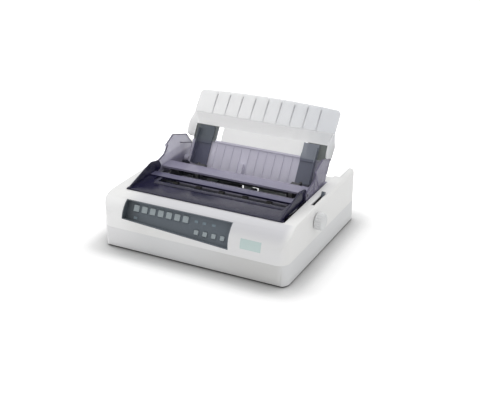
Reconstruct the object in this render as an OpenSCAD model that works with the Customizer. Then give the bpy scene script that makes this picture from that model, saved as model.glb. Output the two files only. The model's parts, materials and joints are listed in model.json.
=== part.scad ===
// Desktop dot matrix printer with a hinged smoke cover and a raised sheet guide.
// X points to the right, Y to the rear and Z up, in millimetres.
// The origin lies on the desk, under the middle of the case.

/* [Case] */
// Width of the case across its side walls
case_w = 398; // [390:1:430]
// Depth of the case from front to rear
case_d = 345; // [340:1:370]
// Height of the rear top edge above the desk
case_h = 112; // [111:0.5:116]
// Height of the top just behind the front brow
brow_h = 109; // [108.5:0.5:110]
// Depth over which the front rounds into the top
brow_depth = 50.5; // [48:0.5:54]
// Height where the front starts to round
brow_start = 62; // [58:0.5:66]
// Thickness of the case walls
wall_t = 2.8; // [2.2:0.1:3.4]
// Height of the joint line between the lower and the upper case
parting_z = 46; // [45:0.5:48]
// Height of the top of the floor above the desk
floor_z = 6; // [5.4:0.1:6.6]
// Radius of the front corners, seen from above
front_corner_r = 22; // [16:1:28]
// Radius of the rear corners, seen from above
rear_corner_r = 12; // [8:1:18]
// Radius of the top side edges
top_edge_r = 9; // [6:0.5:10]
// How far the front tucks in above the feet
tuck_in = 4.5; // [2:0.5:7]
// Height over which the front tucks in
tuck_h = 17; // [12:1:22]
// Half width of the opening under the cover and the sheet guide
opening_hw = 172; // [171:0.5:174]
// Rear end of that opening
opening_rear = 122; // [120:0.5:126]
// Height of the shelf and rear deck that carry the guide base
deck_z = 84; // [83.9:0.1:84.3]
// Half width of the low rear deck
deck_hw = 184; // [183:0.5:186]

/* [Feet and screws] */
// Height of the rubber feet
foot_h = 3; // [2.5:0.1:3.4]
// Radius of the rubber feet
foot_r = 9; // [7:0.5:11]
// Sideways distance of the feet from the middle
foot_x = 165; // [150:1:170]
// Front and rear distance of the feet from the middle
foot_y = 138; // [120:1:142]
// Radius of the case screws
screw_r = 2; // [1.5:0.1:2.5]
// Radius of the screw bosses
screw_boss_r = 7; // [6.8:0.1:8]
// Front and rear distance of the screws from the middle
screw_y = 118; // [108:1:124]

/* [Control panel] */
// Left edge of the panel recess
panel_left = -152; // [-158:1:-150]
// Right edge of the panel recess
panel_right = 81; // [78:1:95]
// Height of the recess at its left edge, along the slope
panel_left_h = 39.5; // [38:0.5:44]
// Height of the recess at its right edge, along the slope
panel_right_h = 51.8; // [46:0.2:52]
// Distance of the upper edge of the recess behind the front of the case
panel_top_in = 23; // [22.5:0.5:24]
// Distance of the upper edge of the recess below the top of the brow
panel_top_drop = 7.5; // [6.5:0.5:8]
// Slope of the panel face from the desk
panel_slope = 63.9; // [62:0.1:65]
// Depth of the panel face below the rim
panel_depth = 7; // [5:0.5:8]
// Thickness of the panel moulding
panel_t = 2; // [1.6:0.1:2.4]
// Width of a wide key
key_w = 12; // [10:0.5:14]
// Height of a wide key along the slope
key_h = 13; // [11:0.5:14]
// Distance between neighbouring wide keys
key_pitch = 18.3; // [17:0.1:18.5]
// X of the first wide key
key_x0 = -130; // [-134:0.5:-129]
// Distance of the wide keys below the upper edge
key_row = 14; // [13:0.5:15]
// Width and height of a small key
small_key = 9; // [7:0.5:10]
// Distance between neighbouring small keys
small_pitch = 18.6; // [16:0.1:19]
// X of the first small key
small_x0 = 7; // [5:0.5:9]
// Distance of the small keys below the upper edge
small_row = 34; // [33:0.5:35]
// Travel of the keys
key_travel = 1.2; // [0.8:0.1:1.4]
// How far the keys stand above the panel face
key_stand = 2; // [1.6:0.1:2.4]
// Width of a status lens
lens_w = 8; // [6:0.5:10]
// Height of a status lens
lens_h = 5; // [4:0.5:6]
// Width of the blank badge plate
badge_w = 42; // [30:1:46]
// Height of the blank badge plate
badge_h = 19; // [14:1:20]
// X of the middle of the badge
badge_x = 127; // [122:1:130]

/* [Access cover] */
// Thickness of the cover moulding
cover_t = 2.2; // [1.8:0.1:2.4]
// How far the front lip of the cover lies over the edge of the opening
cover_lip = 2; // [1:0.5:4]
// Y of the rear edge of the cover
cover_rear = -26; // [-28:0.5:-24]
// Gap between the front lip and the side of the opening
lip_gap = 2.5; // [2:0.5:4]
// Thickness of the side rails
rail_t = 3; // [2.4:0.1:3.4]
// Gap between the side rails and the ears of the guide base
rail_gap = 1; // [0.6:0.2:2]
// Height of the highest point of the side rails
rail_top = 136; // [132:0.5:138]
// Front edge of the paper slot
slot_front = -66; // [-68:0.5:-64]
// Rear edge of the paper slot
slot_rear = -46; // [-48:0.5:-44]
// Left end of the paper slot
slot_left = -132; // [-136:1:-128]
// Right end of the paper slot
slot_right = 148; // [140:1:150]
// X of the small oval hole beside the paper slot
oval_x = -143; // [-145:0.5:-141]
// Y of the groove in front of the paper slot
groove_y = -80; // [-84:1:-76]
// Y of the cover hinge
hinge_y = -10; // [-10.5:0.5:-9.5]
// Z of the cover hinge
hinge_z = 118; // [117:0.5:119]
// Radius of the cover and sheet guide hinge pins
hinge_r = 3; // [2.5:0.1:3.4]

/* [Sheet guide] */
// Y of the foot of the sheet guide
guide_y = 96; // [95:0.5:98]
// Z of the foot of the sheet guide
guide_z = 86; // [85.5:0.5:87]
// Slope of the raised sheet guide
guide_slope = 58; // [56:0.5:60]
// Gap between the separator and the ears of the guide base
sep_side = 9; // [8.5:0.5:11]
// Height of the separator's side columns along the slope
sep_len = 91; // [86:1:93]
// Height of the ribbed part of the separator along the slope
sep_mid = 60; // [56:1:64]
// Half width between the side columns
sep_gap_hw = 104; // [100:1:108]
// Thickness of the separator
sep_t = 2.5; // [2:0.1:3]
// Distance of the separator pivot above its foot, along the slope
pivot_s = 12; // [11:0.5:13]
// Number of ribs on the separator
sep_ribs = 11; // [7:1:13]
// Top of the paper rest along the slope
rest_top = 169; // [155:1:172]
// Height of the crease at the lower edge of the paper rest, along the slope
rest_low = 91.5; // [91.5:0.5:94]
// Height of the bend of the paper rest along the slope
rest_bend = 114; // [112:1:117]
// How far the bend stands in front of the slope
bend_n = 20; // [16:0.5:22]
// How far the top edge of the paper rest stands in front of the slope
rest_top_n = 13.5; // [10:0.5:18]
// Half width of the tongue of the paper rest
tongue_hw = 95; // [85:1:96]
// Lower end of the tongue along the slope
tongue_low = 4; // [3:0.5:6]
// Thickness of the paper rest
rest_t = 2.8; // [2.2:0.1:3]
// Number of ribs on the paper rest
rest_ribs = 9; // [5:1:11]
// Distance between the ribs of the paper rest
rest_rib_pitch = 30; // [26:1:31]
// How far the paper rest slides up
rest_travel = 40; // [30:1:40]
// Width of an edge guide
edge_w = 35; // [32:1:38]
// X of the middle of the left edge guide
left_edge_x = -128; // [-132:1:-122]
// X of the middle of the right edge guide
right_edge_x = 114; // [100:1:120]
// Lower end of an edge guide along the slope
edge_low = 3; // [3:0.5:5]
// Upper end of an edge guide along the slope
edge_len = 89; // [80:1:90]
// Height of the fence of an edge guide
fence_h = 10; // [6:1:12]
// Thickness of the ears of the guide base
ear_t = 2.5; // [2.2:0.1:2.8]
// Gap between the ears and the sides of the opening
ear_gap = 5; // [4.6:0.1:5.2]
// Front edge of the ledge of the guide base
ledge_front = 8; // [7:0.5:9]
// Rear edge of the ledge of the guide base
ledge_rear = 41; // [38:0.5:42]
// Height of the ledge of the guide base
ledge_z = 112; // [111:0.5:113]

/* [Platen and paper feed] */
// Y of the platen axis
platen_y = -34; // [-34.5:0.1:-33.5]
// Z of the platen axis
platen_z = 82; // [81.5:0.1:82.5]
// Radius of the platen, which also sets the pin pitch of the sprockets
platen_r = 16.17; // [15.8:0.01:16.4]
// Gap between an end of the platen and the side frame
platen_gap = 20; // [19:1:30]
// Radius of the platen shaft and the tractor shaft
shaft_r = 4; // [3:0.1:4.5]
// Radius of the platen knob
knob_r = 17; // [14:0.5:19]
// Width of the platen knob
knob_w = 16; // [12:0.5:20]
// Tooth module of the feed gears
gear_module = 1; // [1:0.01:1.01]
// Width of the feed gears
gear_w = 6; // [4:0.5:6.5]
// Gap between the left side frame and the feed gears
gear_gap = 5; // [4.5:0.5:5.5]
// Radius of the rollers on the paper bail
bail_roller_r = 5; // [4:0.1:5.2]
// Radius of the bail rod
bail_r = 2; // [1.5:0.1:2.5]
// Distance between the bail rollers
bail_pitch = 52; // [45:1:60]
// Thickness of the paper pan
pan_t = 1.5; // [1:0.1:2]
// Radius of the feed motor
feed_motor_r = 18; // [15:0.5:20]
// Length of the feed motor
feed_motor_l = 28; // [22:1:32]

/* [Frames and carriage] */
// Gap between a side frame and the side of the opening
frame_gap = 17; // [16.5:0.1:17.5]
// Thickness of the side frames
frame_t = 3; // [2:0.1:3.2]
// Radius of the carriage shaft
carriage_shaft_r = 5; // [4:0.1:6]
// Y of the carriage shaft
carriage_y = -80; // [-81:0.5:-79]
// Z of the carriage shaft
carriage_z = 52; // [51.5:0.5:52.5]
// Half width of the carriage
carriage_hw = 30; // [26:1:34]
// Height of the top of the carriage
carriage_top = 66; // [65:0.5:67]
// Half width of the ribbon cartridge
ribbon_hw = 50; // [44:1:52]
// Height of the top of the ribbon cartridge
ribbon_top = 88; // [86:0.5:90]
// Half width of the print head
head_hw = 15; // [12:0.5:16]
// Radius of the ribbon knob
ribbon_knob_r = 8; // [6:0.5:10]
// Distance of the belt pulleys from the side frames
pulley_gap = 21; // [19:0.5:23]
// Y of the belt pulleys
pulley_y = -108; // [-109:0.5:-107]
// Radius of the belt pulleys
pulley_r = 8; // [7:0.1:9]
// Thickness of the belt
belt_t = 1.4; // [1:0.1:1.6]
// Width of the belt
belt_w = 6; // [5:0.5:6.5]
// Height of the middle of the belt
belt_z = 34; // [33.5:0.5:34.5]
// Radius of the carriage motor
motor_r = 18; // [15:0.5:19]

/* [Tractors] */
// Y of the tractor shaft
tractor_y = 62; // [61.5:0.1:62.5]
// Distance of the tractor rod below the tractor shaft
tractor_rod_drop = 30; // [29.5:0.5:31]
// X of the middle of each tractor
tractor_x = 108; // [104:1:116]
// Half width of a tractor
tractor_hw = 8; // [7.5:0.5:9]
// Width of a sprocket wheel
sprocket_w = 8; // [7:0.5:9]
// Thickness of a tractor door
door_t = 2; // [1.5:0.1:2.4]
// Radius of the sprocket pins
pin_r = 1.9; // [1.6:0.1:1.9]
// How far the sprocket pins stand out of the wheel
pin_stand = 1.2; // [0.8:0.1:1.4]

/* [Lever, switch and electronics] */
// X of the paper lever
lever_x = 188; // [187:0.5:189]
// Z of the paper lever pivot
lever_z = 60; // [58:0.5:62]
// Length of the paper lever
lever_l = 62; // [60:0.5:66]
// Lean of the paper lever to the rear
lever_lean = 25; // [20:1:27]
// Y of the power switch on the left side
switch_y = 95; // [88:1:98]
// Z of the power switch
switch_z = 27; // [24:0.5:30]
// X of the mains inlet on the rear
inlet_x = 126; // [120:1:132]
// X of the parallel port on the rear
port_x = -90; // [-96:1:-80]
// X of the small data port on the rear
small_port_x = -30; // [-40:1:-20]

/* [Clearances] */
// Radial clearance of turning and sliding fits
run_fit = 0.05; // [0.02:0.01:0.08]
// Gap between moulded pieces that move past each other
air = 0.3; // [0.25:0.01:0.4]

/* [Hidden] */
$fn = 48;

// Colours of the materials
shell_white = [0.88, 0.88, 0.85];
shell_grey = [0.74, 0.75, 0.74];
smoke = [0.27, 0.25, 0.36, 0.8];
panel_dark = [0.22, 0.29, 0.29];
steel = [0.72, 0.73, 0.75];
black_plastic = [0.07, 0.07, 0.08];
rubber_black = [0.05, 0.05, 0.05];
gear_white = [0.9, 0.89, 0.84];
board_green = [0.1, 0.35, 0.2];

// Case
half_w = case_w / 2;
half_d = case_d / 2;
opening_front = -half_d + brow_depth;
cover_front = opening_front - cover_lip;
skirt_t = wall_t - 0.3;
shelf_in = opening_hw - 12;
shelf_front = -20;
shelf_z = deck_z - wall_t;
boss_x = half_w - wall_t - screw_boss_r + 1;
boss_h = 14;
cutter = 40;
slot_len = 58;
slot_w = 7;
vent_count = 14;
vent_pitch = 20;
vent_w = 8;

// Widths inside the opening
ear_in = opening_hw - ear_gap;
ear_out = ear_in + ear_t;
rail_out = ear_in - rail_gap;
cover_lip_hw = opening_hw - lip_gap;
sep_hw = ear_in - sep_side;
frame_in = opening_hw - frame_gap;
platen_hw = frame_in - platen_gap;
gear_x = -frame_in + gear_gap;
pulley_x = frame_in - pulley_gap;

// Control panel
wide_keys = 7;
small_keys = 4;
key_flange = 1;
key_flange_t = 1.3;
board_t = 1.6;
board_gap = air + key_flange_t + key_travel + 1.2;
panel_top_y = -half_d + panel_top_in;
panel_top_z = brow_h - panel_top_drop;
panel_face = -panel_depth;
panel_back = -panel_depth - panel_t;
lens_places = [[2.7, key_row], [20, key_row], [40, key_row], [-129, 33]];
post_xs = [-141.5, -69, 66];
post_row = key_row + 11;
badge_row = 34;
badge_t = 0.25;

// Electronics
board_left = -150;
board_right = 26;
board_front = half_d - 128.5;
board_rear = half_d - 12.5;
board_lift = 6;
supply_left = 48;
supply_right = 150;
supply_front = half_d - 116.5;
supply_rear = half_d - 24.5;

// Side view of a side frame
frame_outline = [[-130, floor_z], [105, floor_z], [105, 60], [82, 78], [72, 94], [10, 94], [-4, 108],
    [-16, 108], [-30, 96], [-56, 96], [-62, 70], [-130, 66]];

// Side views of the ears of the guide base, the left one broader at the rear
ear_front = [[-18, deck_z], [-18, 122], [-11, 126], [18, 134], [32, 147], [28, 152]];
right_ear = concat(ear_front, [[64, 166], [102, 154], [72, 106], [112, 104], [116, 98], [116, deck_z]]);
left_ear = concat(ear_front, [[55, 165], [110, 148], [132, 121], [125, 92], [116, deck_z]]);
buffer_y = 30;
buffer_z = 149.5;
buffer_r = 3.5;

// Gears
wheel_teeth = 48;
pinion_teeth = 12;
wheel_r = gear_module * wheel_teeth / 2;
pinion_r = gear_module * pinion_teeth / 2;
idler_y = platen_y + 2 * wheel_r;
pinion_z = platen_z - wheel_r - pinion_r;
tooth_pitch = 360 / wheel_teeth;
idler_stud_r = 3;
hub_r = idler_stud_r + 3;
motor_shaft_r = 2.5;
knob_grooves = 18;
shaft_end = frame_in + frame_t + 1;

// Bail
bail_lean = 115;
bail_reach = platen_r + air + bail_roller_r;
bail_y = platen_y + bail_reach * cos(bail_lean);
bail_z = platen_z + bail_reach * sin(bail_lean);
bail_pivot_y = -10;
bail_pivot_z = 104;
bail_arm_x = platen_hw + 4.5;
bail_arm_t = 2.5;
bail_count = 5;

// Carriage
rail_z = 58;
rail_y0 = -128;
head_front = platen_y - platen_r - 2.1;
ribbon_knob_x = -34;
ribbon_knob_y = carriage_y - 6;
ribbon_stem_r = 2;
belt_r = pulley_r + air;
flange_t = 1;
pulley_bottom = belt_z - belt_w / 2 - air - flange_t;
pulley_top = belt_z + belt_w / 2 + air + flange_t;

// Tractors
tractor_rod_z = platen_z - tractor_rod_drop;
sprocket_pins = 8;
door_z = platen_z + platen_r + pin_stand + air + door_t / 2;
door_hinge_r = 1;
door_hinge_x = tractor_x + tractor_hw + 2;
door_reach = 12;
lug_y = 14;

// Power switch
switch_x = -half_w + 6;
switch_turn = 6;
switch_hw = 9.5;
switch_hh = 6;
switch_pin_r = 1.5;

// Sheet guide
pivot_n = sep_t / 2;
pivot_y = guide_y + pivot_s * cos(guide_slope) - pivot_n * sin(guide_slope);
pivot_z = guide_z + pivot_s * sin(guide_slope) + pivot_n * cos(guide_slope);
rest_back = -(rest_t + 3.2);
rest_front = rest_back + rest_t;
rest_hw = sep_hw + 4;
rest_crown = 5;
rest_grip = 14;
rib_n = sep_t + 1.5;
rib_w = 1.6;
edge_n = rib_n + 0.4;
edge_t = 2;
bar_w = 4;
bar_s0 = sep_mid - bar_w;
bar_n = sep_t + 3;
sep_foot = -4;

// Shared shapes

// A box between two corners
module block(x0, x1, y0, y1, z0, z1) {
    translate([x0, y0, z0]) cube([x1 - x0, y1 - y0, z1 - z0]);
}

// A profile drawn in Y and Z, carried along X
module along_x(x0, x1) {
    translate([x0, 0, 0]) rotate([90, 0, 90]) linear_extrude(x1 - x0) children();
}

// A round bar along X
module rod_x(r, x0, x1, y, z) {
    translate([x0, y, z]) rotate([0, 90, 0]) cylinder(r = r, h = x1 - x0);
}

// The same shape on the left and on the right
module both_sides() {
    children();
    mirror([1, 0, 0]) children();
}

// A profile carried upwards from a height
module raised(z, h) {
    translate([0, 0, z]) linear_extrude(h) children();
}

// Corners of a gear with straight-sided teeth
function gear_points(teeth) = [for (i = [0:teeth - 1], k = [0:3])
    let (side = [-0.30, -0.11, 0.11, 0.30][k],
        height = (k == 1 || k == 2) ? 0.9 : -1.2,
        r = gear_module * (teeth / 2 + height),
        a = (i + side) * 360 / teeth) [r * cos(a), r * sin(a)]];

// A gear across X whose first tooth points along Y, turned by phase
module gear(teeth, phase, x0, w, y, z) {
    translate([x0, y, z]) rotate([90, 0, 90]) linear_extrude(w)
        rotate(phase) polygon(gear_points(teeth));
}

// Case outlines

// Outline of the case seen from above, drawn in by inset
module plan_outline(inset) {
    w = half_w - inset;
    d = half_d - inset;
    rf = front_corner_r - inset;
    rr = rear_corner_r - inset;
    translate([-w, -d + rf]) square([2 * w, 2 * d - rf - rr]);
    translate([-w + rf, -d]) square([2 * (w - rf), rf + 1]);
    translate([-w + rr, d - rr - 1]) square([2 * (w - rr), rr + 1]);
    for (s = [-1, 1]) {
        translate([s * (w - rf), -d + rf]) circle(rf);
        translate([s * (w - rr), d - rr]) circle(rr);
    }
}

// Outline of the case seen from the front
module front_outline(inset) {
    w = half_w - inset;
    h = case_h - inset;
    r = top_edge_r - inset;
    translate([-w, 0]) square([2 * w, h - r]);
    translate([-w + r, 0]) square([2 * (w - r), h]);
    for (s = [-1, 1]) translate([s * (w - r), h - r]) circle(r);
}

// Outline of the case seen from the side: tucked foot, upright front, round brow, sloping top
function side_points(inset) = concat(
    [[-half_d + inset + tuck_in, foot_h], [-half_d + inset, foot_h + tuck_h]],
    [for (a = [0:9:90]) [opening_front - (brow_depth - inset) * cos(a),
        brow_start + (brow_h - brow_start - inset) * sin(a)]],
    [[half_d - inset, case_h - inset], [half_d - inset, foot_h]]);

// The whole case as one solid, drawn in by inset
module case_solid(inset) {
    intersection() {
        along_x(-half_w, half_w) polygon(side_points(inset));
        linear_extrude(case_h) plan_outline(inset);
        translate([0, half_d, 0]) rotate([90, 0, 0]) linear_extrude(case_d) front_outline(inset);
    }
}

// The part of the case solid between two heights
module case_slice(inset, z0, z1) {
    intersection() {
        case_solid(inset);
        block(-half_w, half_w, -half_d, half_d, z0, z1);
    }
}

// Places children on the control panel: X to the right, Y up the slope, Z out of the face
module on_panel() {
    translate([0, panel_top_y, panel_top_z]) rotate([panel_slope, 0, 0]) children();
}

// Places children on the sheet guide: X to the right, Y up the slope, Z towards the front
module on_guide() {
    translate([0, guide_y, guide_z]) rotate([guide_slope, 0, 0]) children();
}

// A profile drawn up the slope and towards the front, carried along X on the sheet guide
module along_guide(x0, x1) {
    translate([x0, 0, 0]) rotate([90, 0, 90]) linear_extrude(x1 - x0) children();
}

// Outline of the panel recess, lower on the right, grown by g on every side
function panel_points(g) = [[panel_left - g, -panel_left_h - g], [panel_right + g, -panel_right_h - g],
    [panel_right + g, g], [panel_left - g, g]];

function wide_key_x(i) = key_x0 + i * key_pitch;
function small_key_x(i) = small_x0 + i * small_pitch;

// Round posts at the four case screws between two heights
module screw_posts(r, z0, z1) {
    for (x = [-boss_x, boss_x], y = [-screw_y, screw_y])
        translate([x, y, z0]) cylinder(r = r, h = z1 - z0);
}

// A block on the panel, centred at x and v below its upper edge, between two heights over the rim
module panel_block(x, v, w, h, n0, n1) {
    translate([x - w / 2, -v - h / 2, n0]) cube([w, h, n1 - n0]);
}

// A block on the sheet guide: X range, range up the slope, range towards the front
module guide_block(x0, x1, s0, s1, n0, n1) {
    translate([x0, s0, n0]) cube([x1 - x0, s1 - s0, n1 - n0]);
}

// Lower case

module lower_case() {
    color(shell_grey) difference() {
        union() {
            difference() {
                case_slice(0, foot_h, parting_z);
                case_slice(wall_t, floor_z, parting_z + 1);
            }
            screw_posts(screw_boss_r, foot_h + 1, parting_z);
            board_standoffs();
            switch_lugs();
            idle_stud();
        }
        screw_posts(screw_r, 0, parting_z + 1);
        screw_posts(2 * screw_r, 0, foot_h + 5);
        for (x = [-foot_x, foot_x], y = [-foot_y, foot_y])
            translate([x, y, foot_h - 1]) cylinder(r = foot_r / 3, h = 1 + floor_z - foot_h + 1);
        rear_windows();
        block(-half_w - 1, -half_w + wall_t + 1, switch_y - switch_hw - 1, switch_y + switch_hw + 1,
            switch_z - switch_hh - 0.5, switch_z + switch_hh + 0.5);
    }
}

// Stepped stud that the idle pulley turns on
module idle_stud() {
    translate([pulley_x, pulley_y, floor_z - 1]) {
        cylinder(r = hub_r, h = pulley_bottom - air - floor_z + 1);
        cylinder(r = idler_stud_r, h = pulley_top + 1 - floor_z + 1);
    }
}

module board_standoffs() {
    for (x = [board_left + 5, board_right - 6], y = [board_front + 6, board_rear - 10])
        translate([x, y, floor_z - 1]) cylinder(r = 4, h = board_lift + 1);
}

// Lugs inside the left wall that hold the power rocker
module switch_lugs() {
    difference() {
        block(-half_w + 1, -half_w + 10, switch_y - 4, switch_y + 4, switch_z - 9.5, switch_z + 9.5);
        block(-half_w, -half_w + 11, switch_y - 5, switch_y + 5,
            switch_z - switch_hh - 0.5, switch_z + switch_hh + 0.5);
        translate([switch_x, switch_y, switch_z - 12]) cylinder(r = switch_pin_r + run_fit, h = 24);
    }
}

// Windows in the rear wall for the inlet and the ports
module rear_windows() {
    block(inlet_x - 14, inlet_x + 14, half_d - wall_t - 1, half_d + 1, 10, 32);
    block(port_x - 31, port_x + 31, half_d - wall_t - 1, half_d + 1, 13, 29);
    block(small_port_x - 7.5, small_port_x + 7.5, half_d - wall_t - 1, half_d + 1, 13, 27);
}

module rubber_feet() {
    color(rubber_black) for (x = [-foot_x, foot_x], y = [-foot_y, foot_y]) translate([x, y, 0]) {
        cylinder(r = foot_r, h = foot_h);
        cylinder(r = foot_r / 3, h = floor_z);
    }
}

module case_screws() {
    color(steel) {
        screw_posts(2 * screw_r - 0.2, foot_h + 2, foot_h + 5);
        screw_posts(screw_r, foot_h + 4, parting_z + 10);
    }
}

// Upper case

module upper_case() {
    color(shell_white) difference() {
        union() {
            difference() {
                case_slice(0, parting_z, case_h);
                case_slice(wall_t, parting_z - 1, case_h);
                block(-opening_hw, opening_hw, opening_front, opening_rear, deck_z, case_h + 1);
                block(-deck_hw, deck_hw, opening_rear - 1, half_d + 1, deck_z, case_h + 1);
            }
            intersection() {
                case_solid(wall_t / 2);
                inner_walls();
            }
            difference() {
                screw_posts(screw_boss_r, parting_z, parting_z + boss_h);
                screw_posts(screw_r, parting_z - 1, parting_z + boss_h - 3);
            }
        }
        on_panel() raised(panel_back - board_gap, cutter) polygon(panel_points(0));
        lever_slot();
        rod_x(shaft_r + 1.5, opening_hw - 1, half_w + 1, platen_y, platen_z);
        rear_vents();
    }
}

// Skirt, shelf and low rear deck inside the case
module inner_walls() {
    out = opening_hw + skirt_t;
    step_y = opening_rear - 1 - skirt_t;
    both_sides() {
        block(opening_hw, out, opening_front - skirt_t, opening_rear - 1, shelf_z, case_h);
        block(shelf_in, opening_hw + 1, shelf_front, opening_rear, shelf_z, deck_z);
        block(opening_hw, deck_hw + skirt_t, step_y, opening_rear - 1, shelf_z, case_h);
        block(deck_hw, deck_hw + skirt_t, step_y, half_d, shelf_z, case_h);
    }
    block(-out, out, opening_front - skirt_t, opening_front, brow_h - 13, case_h);
    block(-deck_hw - 1, deck_hw + 1, opening_rear - 4, half_d, shelf_z, deck_z);
}

module lever_slot() {
    block(lever_x - slot_w / 2, lever_x + slot_w / 2, -slot_len / 2, slot_len / 2, case_h - 12, case_h + 1);
}

module rear_vents() {
    for (i = [0:vent_count - 1]) {
        x = (i - (vent_count - 1) / 2) * vent_pitch;
        block(x - vent_w / 2, x + vent_w / 2, half_d - wall_t - 1, half_d + 1, 56, 74);
    }
}

// Control panel

module panel_bezel() {
    color(panel_dark) {
        difference() {
            intersection() {
                on_panel() raised(panel_back, cutter) polygon(panel_points(0));
                case_solid(0.5);
            }
            on_panel() {
                raised(panel_face, cutter) polygon(panel_points(-panel_t));
                key_holes();
                lens_blocks(panel_back - 1, panel_face + 1);
            }
        }
        on_panel() for (x = post_xs)
            translate([x, -post_row, panel_back - board_gap]) cylinder(r = 2, h = board_gap + 0.5);
    }
}

module key_holes() {
    for (i = [0:wide_keys - 1]) key_hole(wide_key_x(i), key_row, key_w, key_h);
    for (i = [0:small_keys - 1]) key_hole(small_key_x(i), small_row, small_key, small_key);
}

module key_hole(x, v, w, h) {
    panel_block(x, v, w + 2 * air, h + 2 * air, panel_back - 1, panel_face + 1);
}

// The four status lenses between two heights over the rim
module lens_blocks(n0, n1) {
    for (p = lens_places) panel_block(p[0], p[1], lens_w, lens_h, n0, n1);
}

module status_lenses() {
    color([0.62, 0.72, 0.74]) on_panel() lens_blocks(panel_back, panel_face + 0.4);
}

// A board under the wide keys with a wider part under the small keys
module panel_board() {
    n1 = panel_back - board_gap;
    color(board_green) on_panel() {
        raised(n1 - board_t, board_t) polygon([[panel_left + 6, -4], [panel_right - 6, -4],
            [panel_right - 6, -small_row - 3], [small_x0 - 12, -small_row - 3],
            [small_x0 - 12, -key_row - 14], [panel_left + 6, -key_row - 14]]);
    }
}

// One key: a cap through the panel and a flange that keeps it in
module panel_key(x, v, w, h) {
    top = panel_back - air;
    color(shell_grey) on_panel() {
        panel_block(x, v, w, h, top - key_flange_t / 2, panel_face + key_stand);
        panel_block(x, v, w + 2 * key_flange, h + 2 * key_flange, top - key_flange_t, top);
    }
}

module wide_key(i) {
    panel_key(wide_key_x(i), key_row, key_w, key_h);
}

module small_panel_key(i) {
    panel_key(small_key_x(i), small_row, small_key, small_key);
}

// A blank plate to the right of the panel, laid on the curve of the front
module name_badge() {
    color([0.72, 0.85, 0.83]) on_panel() intersection() {
        panel_block(badge_x, badge_row, badge_w, badge_h, -cutter, cutter);
        badge_skin();
    }
}

// A thin layer over the front surface, in panel coordinates
module badge_skin() {
    rotate([-panel_slope, 0, 0]) translate([0, -panel_top_y, -panel_top_z]) difference() {
        translate([0, -2 * badge_t, badge_t]) case_solid(0);
        case_solid(0);
    }
}

// Electronics

module main_board() {
    top = floor_z + board_lift + board_t;
    color(board_green) block(board_left, board_right, board_front, board_rear, top - board_t, top);
    color(black_plastic) translate([0, board_front, top]) {
        block(-110, -80, 26, 56, 0, 3);
        block(-60, -40, 36, 52, 0, 3);
        block(-20, 10, 16, 22, 0, 4.4);
    }
    color(steel) {
        block(port_x - 30, port_x + 30, half_d - 22.5, half_d - 0.5, top, floor_z + 22);
        block(small_port_x - 6.5, small_port_x + 6.5, half_d - 20.5, half_d - 0.5, top, floor_z + 20);
    }
}

module power_supply() {
    tray_top = floor_z + 2;
    sink_front = supply_rear - 28;
    color(steel) block(supply_left, supply_right, supply_front, supply_rear, floor_z, tray_top);
    color([0.35, 0.3, 0.2]) block(supply_left + 8, supply_left + 50, supply_front + 10, supply_front + 50,
        tray_top, tray_top + 32);
    color(black_plastic) for (x = [supply_right - 36, supply_right - 14])
        translate([x, supply_front + 24, tray_top]) cylinder(r = 9, h = 28);
    color([0.3, 0.3, 0.32]) for (x = [10:8:42])
        block(supply_left + x, supply_left + x + 3, sink_front, sink_front + 24, tray_top, tray_top + 24);
}

module mains_inlet() {
    color(black_plastic) difference() {
        block(inlet_x - 14, inlet_x + 14, supply_rear, half_d, floor_z + 4, floor_z + 26);
        block(inlet_x - 11, inlet_x + 11, half_d - 16, half_d + 1, floor_z + 7, floor_z + 23);
    }
    color(steel) for (d = [[-6, 13], [6, 13], [0, 18]])
        block(inlet_x + d[0] - 1, inlet_x + d[0] + 1, half_d - 17, half_d - 6.5,
            floor_z + d[1] - 2, floor_z + d[1] + 2);
}

// Frames and fixed rods

// Holes that both side frames share
module frame_holes(x0, x1) {
    rod_x(shaft_r + run_fit, x0, x1, platen_y, platen_z);
    rod_x(shaft_r + run_fit, x0, x1, tractor_y, platen_z);
    rod_x(shaft_r, x0, x1, tractor_y, tractor_rod_z);
    rod_x(carriage_shaft_r, x0, x1, carriage_y, carriage_z);
    rod_x(bail_r + run_fit, x0, x1, bail_pivot_y, bail_pivot_z);
}

module left_frame() {
    color(steel) {
        difference() {
            along_x(-frame_in - frame_t, -frame_in) polygon(frame_outline);
            frame_holes(-frame_in - frame_t - 1, -frame_in + 1);
            rod_x(motor_shaft_r + 2, -frame_in - frame_t - 1, -frame_in + 1, idler_y, pinion_z);
        }
        rod_x(idler_stud_r, -frame_in, gear_x + gear_w + 1.5, idler_y, platen_z);
    }
}

module right_frame() {
    color(steel) {
        difference() {
            along_x(frame_in, frame_in + frame_t) polygon(frame_outline);
            frame_holes(frame_in - 1, frame_in + frame_t + 1);
        }
        rod_x(idler_stud_r, frame_in + frame_t, lever_x + 3, 0, lever_z);
    }
}

module carriage_shaft() {
    color(steel) rod_x(carriage_shaft_r, -frame_in - frame_t, frame_in + frame_t, carriage_y, carriage_z);
}

module tractor_rod() {
    color(steel) rod_x(shaft_r, -frame_in - frame_t, frame_in + frame_t, tractor_y, tractor_rod_z);
}

// Angle that the front of the carriage runs on
module carriage_rail() {
    color(steel) along_x(-frame_in, frame_in)
        polygon([[rail_y0, rail_z - 12], [rail_y0 + 2, rail_z - 12], [rail_y0 + 2, rail_z - 2],
            [rail_y0 + 11, rail_z - 2], [rail_y0 + 11, rail_z], [rail_y0, rail_z]]);
}

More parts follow.
